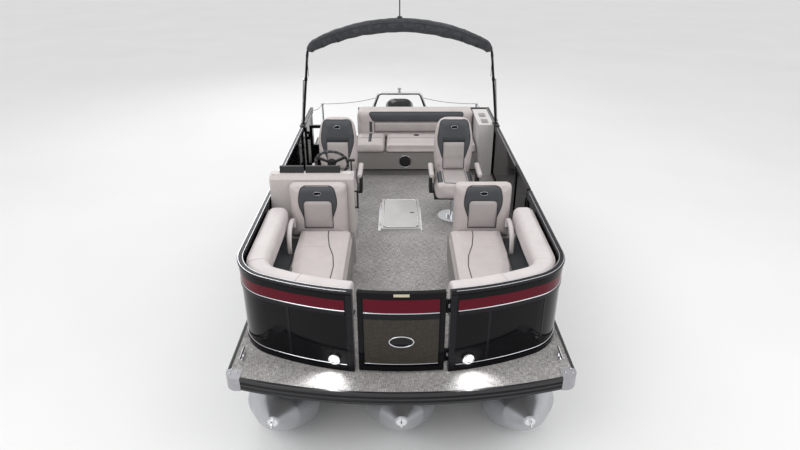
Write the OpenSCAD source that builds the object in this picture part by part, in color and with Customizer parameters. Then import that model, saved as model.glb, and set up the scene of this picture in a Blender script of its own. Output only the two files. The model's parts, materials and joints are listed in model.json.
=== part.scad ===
// Pontoon boat with three tubes, bow-facing lounges, a helm, a rear bench and a tilted-up outboard.
// Millimetres. +X is port, +Y is aft, +Z is up; the boat stands on its tubes at Z = 0.
// Inside the modules Y is a station: the distance aft of the bow gate. place() moves it to the part's frame.

/* [Hull] */
// Radius of each pontoon tube
tube_r = 318; // [270:1:325]
// Distance from the centreline to an outer tube's axis
tube_offset = 950; // [900:1:955]
// Gap between a tube's top and the cross members, filled by the risers
riser_gap = 134; // [100:1:200]
// Height of a cross member
beam_h = 50; // [40:1:80]
// Thickness of the deck board
deck_t = 30; // [20:1:40]
// Station where the outer tubes end
tube_aft = 5380; // [5200:1:5500]
// Station where the centre tube ends and the motor pod begins
pod_start = 4800; // [4600:1:4850]

/* [Deck] */
// Width of the deck board
deck_w = 2540; // [2500:1:2640]
// Radius of the curved bow edge
bow_r = 4400; // [3500:10:6000]
// Station of the front of the deck board
bow_front = -239; // [-300:1:-200]
// Station of the stern edge of the swim deck
deck_aft = 5560; // [5500:1:5580]
// Height of the rub rail
rub_h = 110; // [90:1:130]
// Thickness of the rub rail
rub_t = 25; // [15:1:30]
// Side of the corner castings
casting = 90; // [70:1:110]

/* [Fence] */
// Inset of the fence panels from the deck's edge
fence_inset = 15; // [8:1:30]
// Height of the fence above the deck, without its cap
fence_h = 668; // [600:1:760]
// Height of the rail cap
cap_h = 32; // [24:1:40]
// Thickness of a fence frame
fence_t = 38; // [30:1:44]
// Radius of the fence's bow curve
nose_r = 2370; // [2200:10:2600]
// Station of the foremost point of the fence
nose_s = -45; // [-60:1:-20]
// Radius of the fence's bow corners
corner_r = 420; // [360:1:480]
// Station of the aft end of the side fences
fence_aft = 4715; // [4680:1:4740]

/* [Gates] */
// Width of the clear bow gateway between its posts
bow_way = 690; // [600:10:760]
// Station of the forward end of the side gateway
side_way = 1750; // [1740:1:1780]
// Width of the clear side gateway
side_way_w = 650; // [560:10:660]
// Station of the stern gate's forward face
stern_gate_s = 3850; // [3830:1:3870]
// Radius of the gate hinge pins
pin_r = 5; // [4:0.5:6]
// Radial running clearance of pins and shafts
run_fit = 0.06; // [0.04:0.01:0.1]

/* [Seats] */
// Height of the lounge and bench seats above the deck
seat_h = 450; // [420:1:480]
// Thickness of a seat cushion
cushion_t = 120; // [90:1:140]
// Station of the lounges' backs, at the front of the helm console
lounge_aft = 1585; // [1560:1:1590]
// Height of the lounge backs above the deck
lounge_back_h = 875; // [800:1:920]
// Station of the two captain's chairs' swivel posts
chair_s = 2640; // [2600:1:2700]
// Distance of the helm chair from the centreline
helm_chair_x = 695; // [660:1:700]
// Distance of the companion chair from the centreline
companion_chair_x = 600; // [560:1:650]
// Height of the captain's chairs' seats above the deck
chair_seat_h = 500; // [460:1:520]
// Station of the front edge of the rear bench
bench_front = 3845; // [3820:1:3860]

/* [Floor hatch] */
// Clear length of the floor locker
hatch_len = 760; // [600:10:800]
// Clear width of the floor locker
hatch_wid = 420; // [360:1:430]
// Station of the middle of the floor locker
hatch_s = 2680; // [2640:1:2720]
// Depth of the locker tub below the deck
tub_depth = 480; // [300:10:520]

/* [Bimini] */
// Inset of the bimini's pivots from the fence's outer face
bimini_inset = 39; // [34:1:50]
// Station of the bimini pivots
bimini_s = 3830; // [3780:1:3850]
// Radius of the bimini frame tube
bow_tube_r = 15; // [12:0.5:16]
// Length of a bimini leg up to its shoulder bend
leg_len = 860; // [760:5:900]
// Inward lean of the legs in degrees
leg_lean = 7; // [5:0.5:8]
// Radius of the shoulder bends
shoulder_r = 170; // [150:5:220]
// Radius of the bimini's crown
crown_r = 2400; // [2200:10:2800]

/* [Motor] */
// Height of the motor's tilt tube above the ground
tilt_z = 700; // [690:1:740]
// Station of the motor's tilt tube
tilt_s = 5595; // [5595:1:5640]
// Angle the motor is tilted up from upright
tilt_rest = 47; // [44:1:55]
// Depth of the propeller shaft below the tilt tube
shaft_depth = 835; // [810:1:840]
// Radius of the propeller
prop_r = 178; // [150:1:182]

/* [Hidden] */
$fn = 64;

// Small gap that keeps soft pieces and curved faces off their neighbours
seat_gap = 0.3;
// Clearance that a moving panel keeps all round
move_gap = 6;

deck_half = deck_w / 2;
fence_half = deck_half - fence_inset;
bimini_half = fence_half - bimini_inset;
beam_half = deck_half + rub_t;
beam_z = 2 * tube_r + riser_gap;
deck_under = beam_z + beam_h;
deck_z = deck_under + deck_t;

// Motor reach aft of the tilt tube at rest, to the low tip of a propeller blade
prop_plane = 500;
blade_pitch = 28;
blade_t = 9;
blade_lean = sqrt(pow(sin(blade_pitch) * cos(tilt_rest), 2) + pow(sin(tilt_rest), 2));
blade_edge = prop_r / 2 * (blade_lean - sin(tilt_rest)) + blade_t / 2 * cos(blade_pitch) * cos(tilt_rest);
motor_reach = prop_plane * cos(tilt_rest) + (shaft_depth + prop_r) * sin(tilt_rest) + blade_edge;
bow_tip = bow_front - rub_t;
// The part's origin is midway between the bow's rub rail and the motor
gate_y = -(bow_tip + tilt_s + motor_reach) / 2;

// Fence line: a bow curve, a corner arc and a straight side, each tangent to the next
nose_y = nose_s + nose_r;
corner_x = fence_half - corner_r;
corner_y = nose_y - sqrt(pow(nose_r - corner_r, 2) - pow(corner_x, 2));
corner_start = atan2(corner_x, nose_y - corner_y);

// Bow gateway angles on the bow curve
post_w = 45;
way_angle = asin(bow_way / 2 / nose_r);
post_angle = asin((bow_way / 2 + post_w) / nose_r);
// Leaves a hairline seam between a fence and its gate post
seam_angle = 0.005;
pin_gap = 17;
pin_angle = asin((bow_way / 2 - pin_gap) / nose_r);
gate_end_angle = asin((bow_way / 2 - 2 * pin_gap) / nose_r);
pin_out = 4;
hinge_h = 36;
hinge_heights = [110, 540];

// Stern gate across the starboard passage
inner_half = fence_half - fence_t;
stern_post_w = 32;
stern_pin_x = -inner_half + stern_post_w + pin_gap;
bench_end = -580;
bench_port_end = 1005;
stern_latch_x = bench_end - 40;

// Bimini bow path in the X-Z plane, measured from the pivots' level
bimini_z = deck_z + fence_h + cap_h + 36;
leg_top_x = bimini_half - leg_len * sin(leg_lean);
leg_top_z = leg_len * cos(leg_lean);
shoulder_x = leg_top_x - shoulder_r * cos(leg_lean);
shoulder_z = leg_top_z - shoulder_r * sin(leg_lean);
crown_angle = acos(shoulder_x / (crown_r - shoulder_r));
crown_z = shoulder_z - (crown_r - shoulder_r) * sin(crown_angle);
strut_foot = 110;
strut_up = 560;
strut_side = 30;

// Stern notch that the motor tilts into
notch_half = 500;
notch_s = 4895;

// Helm and rear furniture
console_in = -430;
console_out = -(inner_half - 12);
console_aft = 1985;
wheel_s = 1960;
wheel_z = 900;
wheel_rake = 25;
shaft_len = 200;
bench_aft = fence_aft - fence_t - 22;
bench_crease = 4370;

module place() translate([0, gate_y, 0]) children();
module deck_up(h = 0) translate([0, 0, deck_z + h]) children();
module both() {
    children();
    mirror([1, 0, 0]) children();
}

// A prism along X whose outline is drawn as [station, height] points
module side_profile(points, x0, x1)
    translate([x0, 0, 0]) rotate([90, 0, 90]) linear_extrude(x1 - x0) polygon(points);

// A bar with a rectangular section and broken long edges, lying along Y
module chamfered(w, h, c) polygon([
    [c, 0], [w - c, 0], [w, c], [w, h - c], [w - c, h], [c, h], [0, h - c], [0, c]
]);

module rod(from, to, r) {
    d = to - from;
    len = norm(d);
    translate(from) rotate([0, acos(d[2] / len), atan2(d[1], d[0])]) cylinder(h = len, r = r);
}

// ---------- hull ----------

module nose(x) {
    // each ring is [station, axis height, radius]
    rings = [[450, tube_r, tube_r - 1], [200, tube_r + 28, tube_r - 32], [-30, tube_r + 122, tube_r - 148],
             [-190, tube_r + 212, 50]];
    hull() for (ring = rings)
        translate([x, ring[0], ring[1]]) rotate([90, 0, 0]) cylinder(h = 2, r = ring[2], $fn = 72);
}

// Lifting strake: a ridge along the lower quarter of a tube
module lifting_strake(x, side, aft)
    translate([x, 700, tube_r]) rotate([0, side * -48, 0]) translate([-8, 0, -tube_r - 34])
        cube([16, aft - 760, 44]);

module tube(x, aft) {
    translate([x, aft, tube_r]) rotate([90, 0, 0]) cylinder(h = aft - 448, r = tube_r);
    nose(x);
}

module pontoon_side() place() color("silver") {
    tube(tube_offset, tube_aft);
    for (side = [-1, 1]) lifting_strake(tube_offset, side, tube_aft);
}
module pontoon_port() pontoon_side();
module pontoon_starboard() mirror([1, 0, 0]) pontoon_side();

tub_wall = 5;
tub_out_w = hatch_wid + 2 * tub_wall;
tub_out_l = hatch_len + 2 * tub_wall;
tub_floor = deck_z - tub_depth;
module tub_space(grow) translate([-tub_out_w / 2 - grow, hatch_s - tub_out_l / 2 - grow, tub_floor - grow])
    cube([tub_out_w + 2 * grow, tub_out_l + 2 * grow, tub_depth + 100]);

module pontoon_centre() place() color("silver") difference() {
    union() {
        tube(0, pod_start);
        for (side = [-1, 1]) lifting_strake(0, side, pod_start);
    }
    tub_space(0);
}

web_t = 6;
flange_w = 46;
web_out = 150;
web_mid = 238;
web_start = 460;
// Two webs stand on each tube and carry the cross members on their flanges
module riser(x, tube_x, aft) difference() {
    union() {
        translate([x - web_t / 2, web_start, tube_r]) cube([web_t, aft - web_start, beam_z - tube_r]);
        translate([x - flange_w / 2, web_start, beam_z - web_t]) cube([flange_w, aft - web_start, web_t]);
    }
    translate([tube_x, aft + 1, tube_r]) rotate([90, 0, 0]) cylinder(h = aft, r = tube_r + 0.2);
}
module risers() place() color("gainsboro") {
    for (tube_x = [-tube_offset, tube_offset], side = [-1, 1])
        riser(tube_x + side * web_out, tube_x, tube_aft - 60);
    for (side = [-1, 1]) riser(side * web_mid, 0, pod_start - 40);
}

beam_w = 60;
beam_wall = 5;
beam_stations = [for (i = [0:12]) 60 + i * 420];
module beam(x0, x1, s) translate([x0, s, beam_z]) difference() {
    cube([x1 - x0, beam_w, beam_h]);
    translate([-1, beam_wall, beam_wall]) cube([x1 - x0 + 2, beam_w, beam_h - 2 * beam_wall]);
}
module cross_members() place() color("gainsboro") {
    reach = deck_half - 20;
    tub_reach = tub_out_w / 2 + move_gap;
    for (s = beam_stations)
        if (s + beam_w > notch_s)
            both() beam(notch_half + 20, reach, s);
        else if (s + beam_w > hatch_s - tub_out_l / 2 && s < hatch_s + tub_out_l / 2)
            both() beam(tub_reach, reach, s);
        else beam(-reach, reach, s);
}

pod_half = 260;
pod_top = tilt_z - 200;
pod_low = 200;
transom_t = 45;
transom_face = tilt_s - 65;
transom_half = 280;
module motor_pod() place() color("silver") {
    difference() {
        side_profile([[pod_start, pod_low], [transom_face, pod_low + 30], [transom_face, pod_top],
                      [pod_start, pod_top]], -pod_half, pod_half);
        translate([-pod_half + 8, pod_start + 60, pod_low + 50])
            cube([2 * pod_half - 16, transom_face - pod_start - 120, pod_top]);
    }
    translate([-transom_half, transom_face - transom_t, pod_low - 40])
        cube([2 * transom_half, transom_t, tilt_z + 10 - pod_low + 40]);
    for (side = [-1, 1]) {
        side_profile([[transom_face - transom_t - 110, pod_top], [transom_face - transom_t, pod_top],
                      [transom_face - transom_t, tilt_z - 60]], side * 250 - 4, side * 250 + 4);
        translate([side * web_mid - web_t / 2, pod_start, pod_top - 1])
            cube([web_t, notch_s - 25 - pod_start, beam_z - pod_top + 1]);
    }
}

// ---------- deck ----------

module deck_plan() difference() {
    intersection() {
        translate([0, bow_front + bow_r]) circle(bow_r);
        translate([-deck_half, bow_front - 10]) square([deck_w, deck_aft - bow_front + 10]);
    }
    both() translate([deck_half - casting, casting_s - 200]) square([casting + 10, casting + 200]);
    both() translate([deck_half - casting, deck_aft - casting]) square([casting + 10, casting + 10]);
    translate([-notch_half, notch_s]) square([2 * notch_half, deck_aft - notch_s + 10]);
    translate([-hatch_wid / 2 - tub_wall, hatch_s - hatch_len / 2 - tub_wall]) square([tub_out_w, tub_out_l]);
}
casting_s = bow_front + bow_r - sqrt(pow(bow_r, 2) - pow(deck_half - casting, 2));
module deck() place() color("dimgray") translate([0, 0, deck_under]) linear_extrude(deck_t) deck_plan();

// Rub rail section, X outward from the deck's edge, Y up: three ribs with two grooves between them
rib = 9;
module rub_section() polygon([
    [0, 0], [rub_t - rib, 0], [rub_t, rib], [rub_t, rub_h * 0.26], [rub_t - rib, rub_h * 0.32],
    [rub_t - rib, rub_h * 0.38], [rub_t, rub_h * 0.44], [rub_t, rub_h * 0.58], [rub_t - rib, rub_h * 0.64],
    [rub_t - rib, rub_h * 0.7], [rub_t, rub_h * 0.76], [rub_t, rub_h - rib], [rub_t - rib, rub_h], [0, rub_h]
]);
rub_z = deck_z - rub_h + 4;
bow_half_angle = asin((deck_half - casting) / (bow_r + rub_t));
module rub_rails() place() color([0.06, 0.06, 0.07]) translate([0, 0, rub_z]) {
    translate([0, bow_front + bow_r, 0]) rotate([0, 0, -90 - bow_half_angle])
        rotate_extrude(angle = 2 * bow_half_angle, $fn = 360) translate([bow_r, 0]) rub_section();
    both() translate([deck_half, deck_aft - casting, 0]) rotate([90, 0, 0])
        linear_extrude(deck_aft - 2 * casting - casting_s) rub_section();
    both() translate([notch_half, deck_aft, 0]) rotate([90, 0, 90])
        linear_extrude(deck_half - casting - notch_half) rub_section();
}

// Corner casting: a block with a rounded outer corner that wraps the deck's corner
module casting_block(round_r) {
    side = casting + rub_t;
    intersection() {
        cube([side, side, rub_h]);
        union() {
            translate([side - round_r, side - round_r, 0]) cylinder(h = rub_h, r = round_r);
            cube([side - round_r, side, rub_h]);
            cube([side, side - round_r, rub_h]);
        }
    }
}
module corner_castings() place() color("lightgray") translate([0, 0, rub_z]) both() {
    translate([deck_half - casting, casting_s + casting, 0]) mirror([0, 1, 0]) casting_block(84);
    translate([deck_half - casting, deck_aft - casting, 0]) casting_block(84);
}

cleat_len = 150;
cleat_h = 44;
bow_cleat = [deck_half - 55, 150];
stern_cleat = [deck_half - 58, deck_aft - 330];
module cleat() {
    translate([-16, -45, 0]) cube([32, 90, 8]);
    for (y = [-26, 26]) translate([0, y, 0]) cylinder(h = cleat_h - 8, r = 8);
    translate([0, cleat_len / 2, cleat_h - 9]) rotate([90, 0, 0]) cylinder(h = cleat_len, r = 9);
}
module cleats() place() color("silver") both() deck_up() for (at = [bow_cleat, stern_cleat])
    translate([at[0], at[1], 0]) cleat();

eye_r = 10;
eye_plate = 10;
eye_reach = 34;
eye_tip = -192;
module bow_eyes() place() color("silver") for (x = [-tube_offset, 0, tube_offset])
    translate([x, eye_tip, tube_r + 212]) rotate([90, 0, 0]) {
        cylinder(h = 8, r = 38);
        translate([0, 0, eye_reach]) rotate([0, 90, 0]) difference() {
            union() {
                cylinder(h = eye_plate, r = 24, center = true);
                translate([0, -24, -eye_plate / 2]) cube([eye_reach - 4, 48, eye_plate]);
            }
            cylinder(h = eye_plate + 2, r = eye_r, center = true);
        }
    }

// ---------- fence and gates ----------

// Sweeps a section along the port fence line from an angle on the bow curve to a station aft
module fence_run(start, aft) {
    translate([0, nose_y, 0]) rotate([0, 0, corner_start - 90]) {
        mirror([0, 1, 0]) rotate_extrude(angle = corner_start - start, $fn = 240)
            translate([nose_r, 0]) children();
        translate([nose_r - corner_r, 0, 0]) rotate_extrude(angle = 90 - corner_start, $fn = 120)
            translate([corner_r, 0]) children();
    }
    side_run(corner_y + seat_gap, aft) children();
}
module side_run(from, to) translate([fence_half, to, 0]) rotate([90, 0, 0])
    linear_extrude(to - from) children();
module bow_sector(from, to) translate([0, nose_y, 0]) rotate([0, 0, from - 90])
    rotate_extrude(angle = to - from, $fn = 240) translate([nose_r, 0]) children();

rail_h = 44;
skin_out = 7;
skin_t = 20;
// Fence section, X outward from the outer face: a skin between a bottom rail and a top rail
module fence_section(low = 0, high = fence_h) polygon([
    [-fence_t, low], [0, low], [0, low + rail_h], [-skin_out, low + rail_h], [-skin_out, high - rail_h],
    [0, high - rail_h], [0, high], [-fence_t, high], [-fence_t, high - rail_h],
    [-skin_out - skin_t, high - rail_h], [-skin_out - skin_t, low + rail_h], [-fence_t, low + rail_h]
]);
module full_section(low = 0, high = fence_h) translate([-fence_t, low]) square([fence_t, high - low]);
cap_over = 6;
module cap_section(z = fence_h) translate([-fence_t - cap_over, z])
    chamfered(fence_t + 2 * cap_over, cap_h, 9);

panel_color = [0.05, 0.05, 0.06];
module fence_starboard() mirror([1, 0, 0]) place() deck_up() color(panel_color)
    fence_run(post_angle + seam_angle, fence_aft) fence_section();
module fence_port_bow() place() deck_up() color(panel_color)
    fence_run(post_angle + seam_angle, side_way - post_w) fence_section();
side_way_end = side_way + side_way_w;
module fence_port_aft() place() deck_up() color(panel_color)
    side_run(side_way_end + post_w, fence_aft) fence_section();
// The stern fence stands behind the bench and stops at the starboard passage
module fence_stern() place() deck_up() color(panel_color)
    translate([bench_end, fence_aft, 0]) rotate([90, 0, 90]) linear_extrude(inner_half - bench_end)
        fence_section();

module top_rails() place() deck_up() color([0.12, 0.12, 0.13]) {
    mirror([1, 0, 0]) fence_run(way_angle, fence_aft) cap_section();
    fence_run(way_angle, side_way) cap_section();
    side_run(side_way_end, fence_aft) cap_section();
    translate([bench_end, fence_aft, 0]) rotate([90, 0, 90])
        linear_extrude(inner_half - cap_over - seat_gap - bench_end) cap_section();
}

// Hinge drawn at its pin: the gate runs along -X and swings toward +Y
leaf = 42;
leaf_t = 8;
barrel_r = 10;
module hinge_fixed() for (z = hinge_heights) translate([0, 0, z]) {
    for (low = [-hinge_h - 0.6, hinge_h + 0.6]) translate([0, 0, low]) {
        cylinder(h = hinge_h, r = barrel_r);
        translate([0, -pin_out - 2, 0]) cube([leaf, leaf_t, hinge_h]);
    }
    translate([0, 0, -hinge_h - 0.6]) cylinder(h = 3 * hinge_h + 1.2, r = pin_r);
}
module hinge_bores() for (z = hinge_heights) translate([0, 0, z - 1])
    cylinder(h = hinge_h + 2, r = pin_r + run_fit);
module hinge_moving() for (z = hinge_heights) translate([0, 0, z]) {
    cylinder(h = hinge_h, r = barrel_r);
    translate([-leaf, -pin_out - 2, 0]) cube([leaf, leaf_t, hinge_h]);
}
// Moves a hinge to the bow gate's, side gate's or stern gate's pin
module at_bow_pin() translate([0, nose_y, 0]) rotate([0, 0, pin_angle])
    translate([0, -(nose_r - fence_t - pin_out), 0]) children();
module at_side_pin() translate([inner_half - pin_out, side_way + pin_gap, 0]) rotate([0, 0, -90])
    mirror([0, 1, 0]) children();
module at_stern_pin() translate([stern_pin_x, stern_gate_s + fence_t + pin_out, 0])
    mirror([1, 0, 0]) children();

post_h = fence_h;
module gate_posts() place() deck_up() color([0.1, 0.1, 0.11]) {
    bow_sector(way_angle, post_angle) full_section(0, post_h);
    at_bow_pin() hinge_fixed();
    mirror([1, 0, 0]) bow_sector(way_angle, post_angle) full_section(0, post_h);
    side_run(side_way - post_w, side_way) full_section(0, post_h);
    at_side_pin() hinge_fixed();
    side_run(side_way_end, side_way_end + post_w) full_section(0, post_h);
    translate([-inner_half, stern_gate_s, 0]) cube([stern_post_w, fence_t, post_h]);
    at_stern_pin() hinge_fixed();
    translate([stern_latch_x, stern_gate_s, 0]) cube([40 - seat_gap, fence_t, post_h]);
}

gate_low = 24;
gate_high = fence_h + cap_h;
stile = 36;
stile_angle = stile / nose_r * 57.2958;
module bow_gate() place() deck_up() color(panel_color) difference() {
    union() {
        bow_sector(0.02 - gate_end_angle, gate_end_angle - 0.02) fence_section(gate_low, gate_high);
        for (a = [-gate_end_angle, gate_end_angle - stile_angle])
            bow_sector(a, a + stile_angle) translate([-fence_t - 1, gate_low - 1])
                square([fence_t + 2, gate_high - gate_low + 2]);
        at_bow_pin() hinge_moving();
    }
    at_bow_pin() hinge_bores();
}
module side_gate() place() deck_up() color(panel_color) {
    near = side_way + 2 * pin_gap;
    far = side_way_end - move_gap * 2;
    difference() {
        union() {
            side_run(near, far) fence_section(gate_low, gate_high);
            for (s = [near, far - stile]) side_run(s, s + stile) full_section(gate_low, gate_high);
            at_side_pin() hinge_moving();
        }
        at_side_pin() hinge_bores();
    }
}
// The stern gate has a solid lower panel and an open loop above it
stern_panel_h = 420;
module stern_gate() place() deck_up() color(panel_color) {
    near = stern_pin_x + pin_gap;
    far = stern_latch_x - move_gap;
    difference() {
        union() {
            translate([near, stern_gate_s, gate_low]) difference() {
                cube([far - near, fence_t, gate_high - gate_low]);
                translate([stile, -1, stern_panel_h]) cube([far - near - 2 * stile, fence_t + 2,
                                                            gate_high - gate_low - stern_panel_h - stile]);
                translate([stile, -1, stile]) cube([far - near - 2 * stile, 8, stern_panel_h - 2 * stile]);
            }
            at_stern_pin() hinge_moving();
        }
        at_stern_pin() hinge_bores();
    }
}

light_x = 490;
light_r = 44;
light_z = 105;
module docking_lights() place() deck_up() color("white") both() {
    turn = asin(light_x / nose_r);
    translate([0, nose_y, light_z]) rotate([0, 0, turn]) translate([0, -nose_r + skin_out - 0.5, 0])
        rotate([90, 0, 0]) difference() {
            cylinder(h = 22, r = light_r);
            translate([0, 0, 14]) cylinder(h = 10, r = light_r - 8);
        }
}

// ---------- lounges ----------

function on_bow(a, inset) = [(nose_r - inset) * sin(a), nose_y - (nose_r - inset) * cos(a)];
function on_corner(a, inset) =
    [corner_x + (corner_r - inset) * sin(a), corner_y - (corner_r - inset) * cos(a)];

lounge_in = 470;
base_in = 452;
base_h = seat_h - cushion_t;
base_inset = fence_t + 8;
module lounge_base_plan() {
    first = asin(base_in / (nose_r - base_inset));
    polygon(concat(
        [for (i = [0:4]) on_bow(first + (corner_start - first) * i / 4, base_inset)],
        [for (i = [1:10]) on_corner(corner_start + (90 - corner_start) * i / 10, base_inset)],
        [[fence_half - base_inset, lounge_aft - 2], [base_in, lounge_aft - 2]]
    ));
}
toe_h = 70;
module lounge_base() place() deck_up() color("gray") {
    difference() {
        linear_extrude(base_h) lounge_base_plan();
        translate([base_in - 1, -200, -1]) cube([31, 2000, toe_h + 1]);
    }
}
module lounge_base_port() lounge_base();
module lounge_base_starboard() mirror([1, 0, 0]) lounge_base();

lounge_front = 300;
lounge_crease = 1470;
lounge_seat_w = 480;
// Seat pad: long, narrower at its foot
module lounge_seat() place() deck_up(base_h + seat_gap) color("linen") linear_extrude(cushion_t) polygon([
    [lounge_in - 35, 480], [lounge_in + 40, lounge_front + 60], [lounge_in + 380, lounge_front + 100],
    [lounge_in + lounge_seat_w, 800], [lounge_in + lounge_seat_w, lounge_crease - 4],
    [lounge_in - 35, lounge_crease - 4]
]);
module lounge_seat_port() lounge_seat();
module lounge_seat_starboard() mirror([1, 0, 0]) lounge_seat();

lounge_back_in = 480;
lounge_back_out = 1035;
module lounge_back() place() deck_up() color("linen")
    side_profile([[lounge_crease, base_h + seat_gap], [lounge_aft - 2, base_h + seat_gap],
                  [lounge_aft - 2, lounge_back_h - 20], [lounge_aft - 22, lounge_back_h],
                  [lounge_crease + 45, lounge_back_h], [lounge_crease + 25, lounge_back_h - 30]],
                 lounge_back_in, lounge_back_out);
module lounge_back_port() lounge_back();
module lounge_back_starboard() mirror([1, 0, 0]) lounge_back();

// Padded coaming that follows the fence from the gate post round to the lounge's back
wrap_w = 190;
wrap_low = base_h + seat_gap;
wrap_high = fence_h + 8;
wrap_inset = fence_t + cap_over + 2;
wrap_start = asin((bow_way / 2 + 20) / nose_r);
module wrap_section() translate([-wrap_inset - wrap_w, wrap_low]) polygon([
    [60, 0], [wrap_w, 0], [wrap_w, wrap_high - wrap_low - 25], [wrap_w - 30, wrap_high - wrap_low],
    [50, wrap_high - wrap_low], [0, wrap_high - wrap_low - 45], [0, wrap_high - wrap_low - 150]
]);
module lounge_wrap() place() deck_up() color("linen") fence_run(wrap_start, lounge_crease) wrap_section();
module lounge_wrap_port() lounge_wrap();
module lounge_wrap_starboard() mirror([1, 0, 0]) lounge_wrap();

// A short armrest stands between the lounge back and the coaming
module lounge_armrests() place() deck_up(seat_h - cushion_t + seat_gap) color("linen") both()
    side_profile([[1150, 0], [1440, 0], [1440, 190], [1400, 215], [1240, 190], [1160, 110]], 965, 1008);

// ---------- helm ----------

dash_low = 640;
console_top = 905;
ledge = 1725;
module helm_console() place() deck_up() color("whitesmoke") difference() {
    side_profile([
        [lounge_aft + 8, 0], [lounge_aft + 8, console_top - 30], [lounge_aft + 38, console_top],
        [ledge, console_top + 5], dash_front, dash_aft, [console_aft, dash_low], [console_aft, 260], [console_aft - 130, 60], [console_aft - 130, 0]
    ], console_out, console_in);
    translate([console_in - 12, lounge_aft + 120, 120]) rotate([90, 0, 90])
        linear_extrude(20) polygon([[0, 0], [150, 0], [200, 60], [200, 150], [30, 150], [0, 120]]);
    translate([console_in - 12, lounge_aft + 120, 420]) rotate([90, 0, 90])
        linear_extrude(20) polygon([[0, 0], [110, 30], [110, 170], [30, 190], [0, 160]]);
    translate([0, 0, -deck_z]) at_wheel() translate([0, 0, -shaft_len - 1]) cylinder(h = 60, r = shaft_r + run_fit);
}

dash_front = [ledge + 25, console_top - 20];
dash_aft = [console_aft - 15, dash_low + 40];
dash_fall = (dash_front[1] - dash_aft[1]) / (dash_aft[0] - dash_front[0]);
// Heights just above the console's top and its raked dash at a station
function top_at(s) = console_top + 5 * (s - lounge_aft - 38) / (ledge - lounge_aft - 38) + seat_gap;
function dash_at(s) = dash_front[1] - dash_fall * (s - dash_front[0]) + 2 * seat_gap;
hood_h = 62;
throttle_s = 1835;
// Gauge hoods, throttle box and grab handle stand on the console
module dash_fittings() place() deck_up() color([0.05, 0.05, 0.05]) {
    for (span = [[-1120, -900], [-880, -560]])
        side_profile([[ledge - 45, top_at(ledge - 45)], [ledge - 2, top_at(ledge - 2)],
                      [ledge - 2, console_top + hood_h], [ledge - 30, console_top + hood_h]],
                     span[0], span[1]);
    side_profile([[throttle_s, dash_at(throttle_s)], [throttle_s + 70, dash_at(throttle_s + 70)],
                  [throttle_s + 70, dash_at(throttle_s) + 30], [throttle_s, dash_at(throttle_s) + 55]],
                 -500, -445);
    translate([-472, throttle_s + 30, dash_at(throttle_s)]) {
        rotate([-12, 0, 0]) cylinder(h = 150, r = 8);
        translate([-35, 22, 135]) cube([70, 26, 22]);
    }
    translate([console_in + 26, lounge_aft + 70, 560]) {
        rotate([0, 0, 0]) cylinder(h = 180, r = 9);
        for (z = [8, 172]) translate([0, 0, z]) rotate([0, -90, 0]) cylinder(h = 25.7, r = 8);
    }
}

rim_r = 155;
rim_tube = 12;
wheel_x = -665;
shaft_r = 12;
// The wheel turns on a shaft that leaves the raked dash
module at_wheel() translate([wheel_x, wheel_s, wheel_z + deck_z]) rotate([wheel_rake - 90, 0, 0])
    children();
module steering_wheel() place() color([0.06, 0.06, 0.06]) at_wheel() {
    rotate_extrude() translate([rim_r, 0]) circle(rim_tube, $fn = 24);
    cylinder(h = 26, r = 38, center = true);
    for (a = [90, 210, 330]) rotate([0, 0, a]) translate([20, -13, -6]) cube([rim_r - 22, 26, 12]);
    translate([0, 0, -shaft_len]) cylinder(h = shaft_len, r = shaft_r);
}

// ---------- captain's chairs ----------

pedestal_h = 262;
spindle_r = 20;
seat_plate = 300;
module pedestal() {
    cylinder(h = 12, r = 170);
    cylinder(h = 40, r = 70);
    cylinder(h = pedestal_h, r = 38);
    cylinder(h = seat_plate - 6, r = spindle_r);
}
module chair_pedestals() place() deck_up() color("silver")
    for (x = [-helm_chair_x, companion_chair_x]) translate([x, chair_s, 0]) pedestal();

arm_out = 290;
arm_t = 60;
back_s = 190;
back_low = 350;
bracket_top = 760;
// Station of the back cushion's rear face at a height
function back_rear(z) = back_s + 85 + (z - back_low) * 0.0927;
// Hub, seat pan, arm brackets and back bracket turn as one
module chair_frame() difference() {
    union() {
        translate([0, 0, pedestal_h + 2]) cylinder(h = seat_plate - pedestal_h + 10, r = 52);
        translate([-arm_out + arm_t, -210, seat_plate]) cube([2 * (arm_out - arm_t), 430, 22]);
        for (side = [-1, 1]) translate([side * (arm_out - arm_t / 2) - 15, -30, seat_plate])
            cube([30, 170, 240]);
        translate([-arm_out + 15, -30, seat_plate]) cube([2 * arm_out - 30, 170, 22]);
        side_profile([[back_rear(seat_plate) + seat_gap, seat_plate], [back_rear(seat_plate) + 30, seat_plate],
                      [back_rear(bracket_top) + 30, bracket_top],
                      [back_rear(bracket_top) + seat_gap, bracket_top]], -150, 150);
        translate([-150, 200, seat_plate]) cube([300, back_rear(seat_plate) + 10 - 200, 22]);
    }
    translate([0, 0, pedestal_h]) cylinder(h = seat_plate - pedestal_h - 4, r = spindle_r + run_fit);
}
chair_top = 1090;
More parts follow.
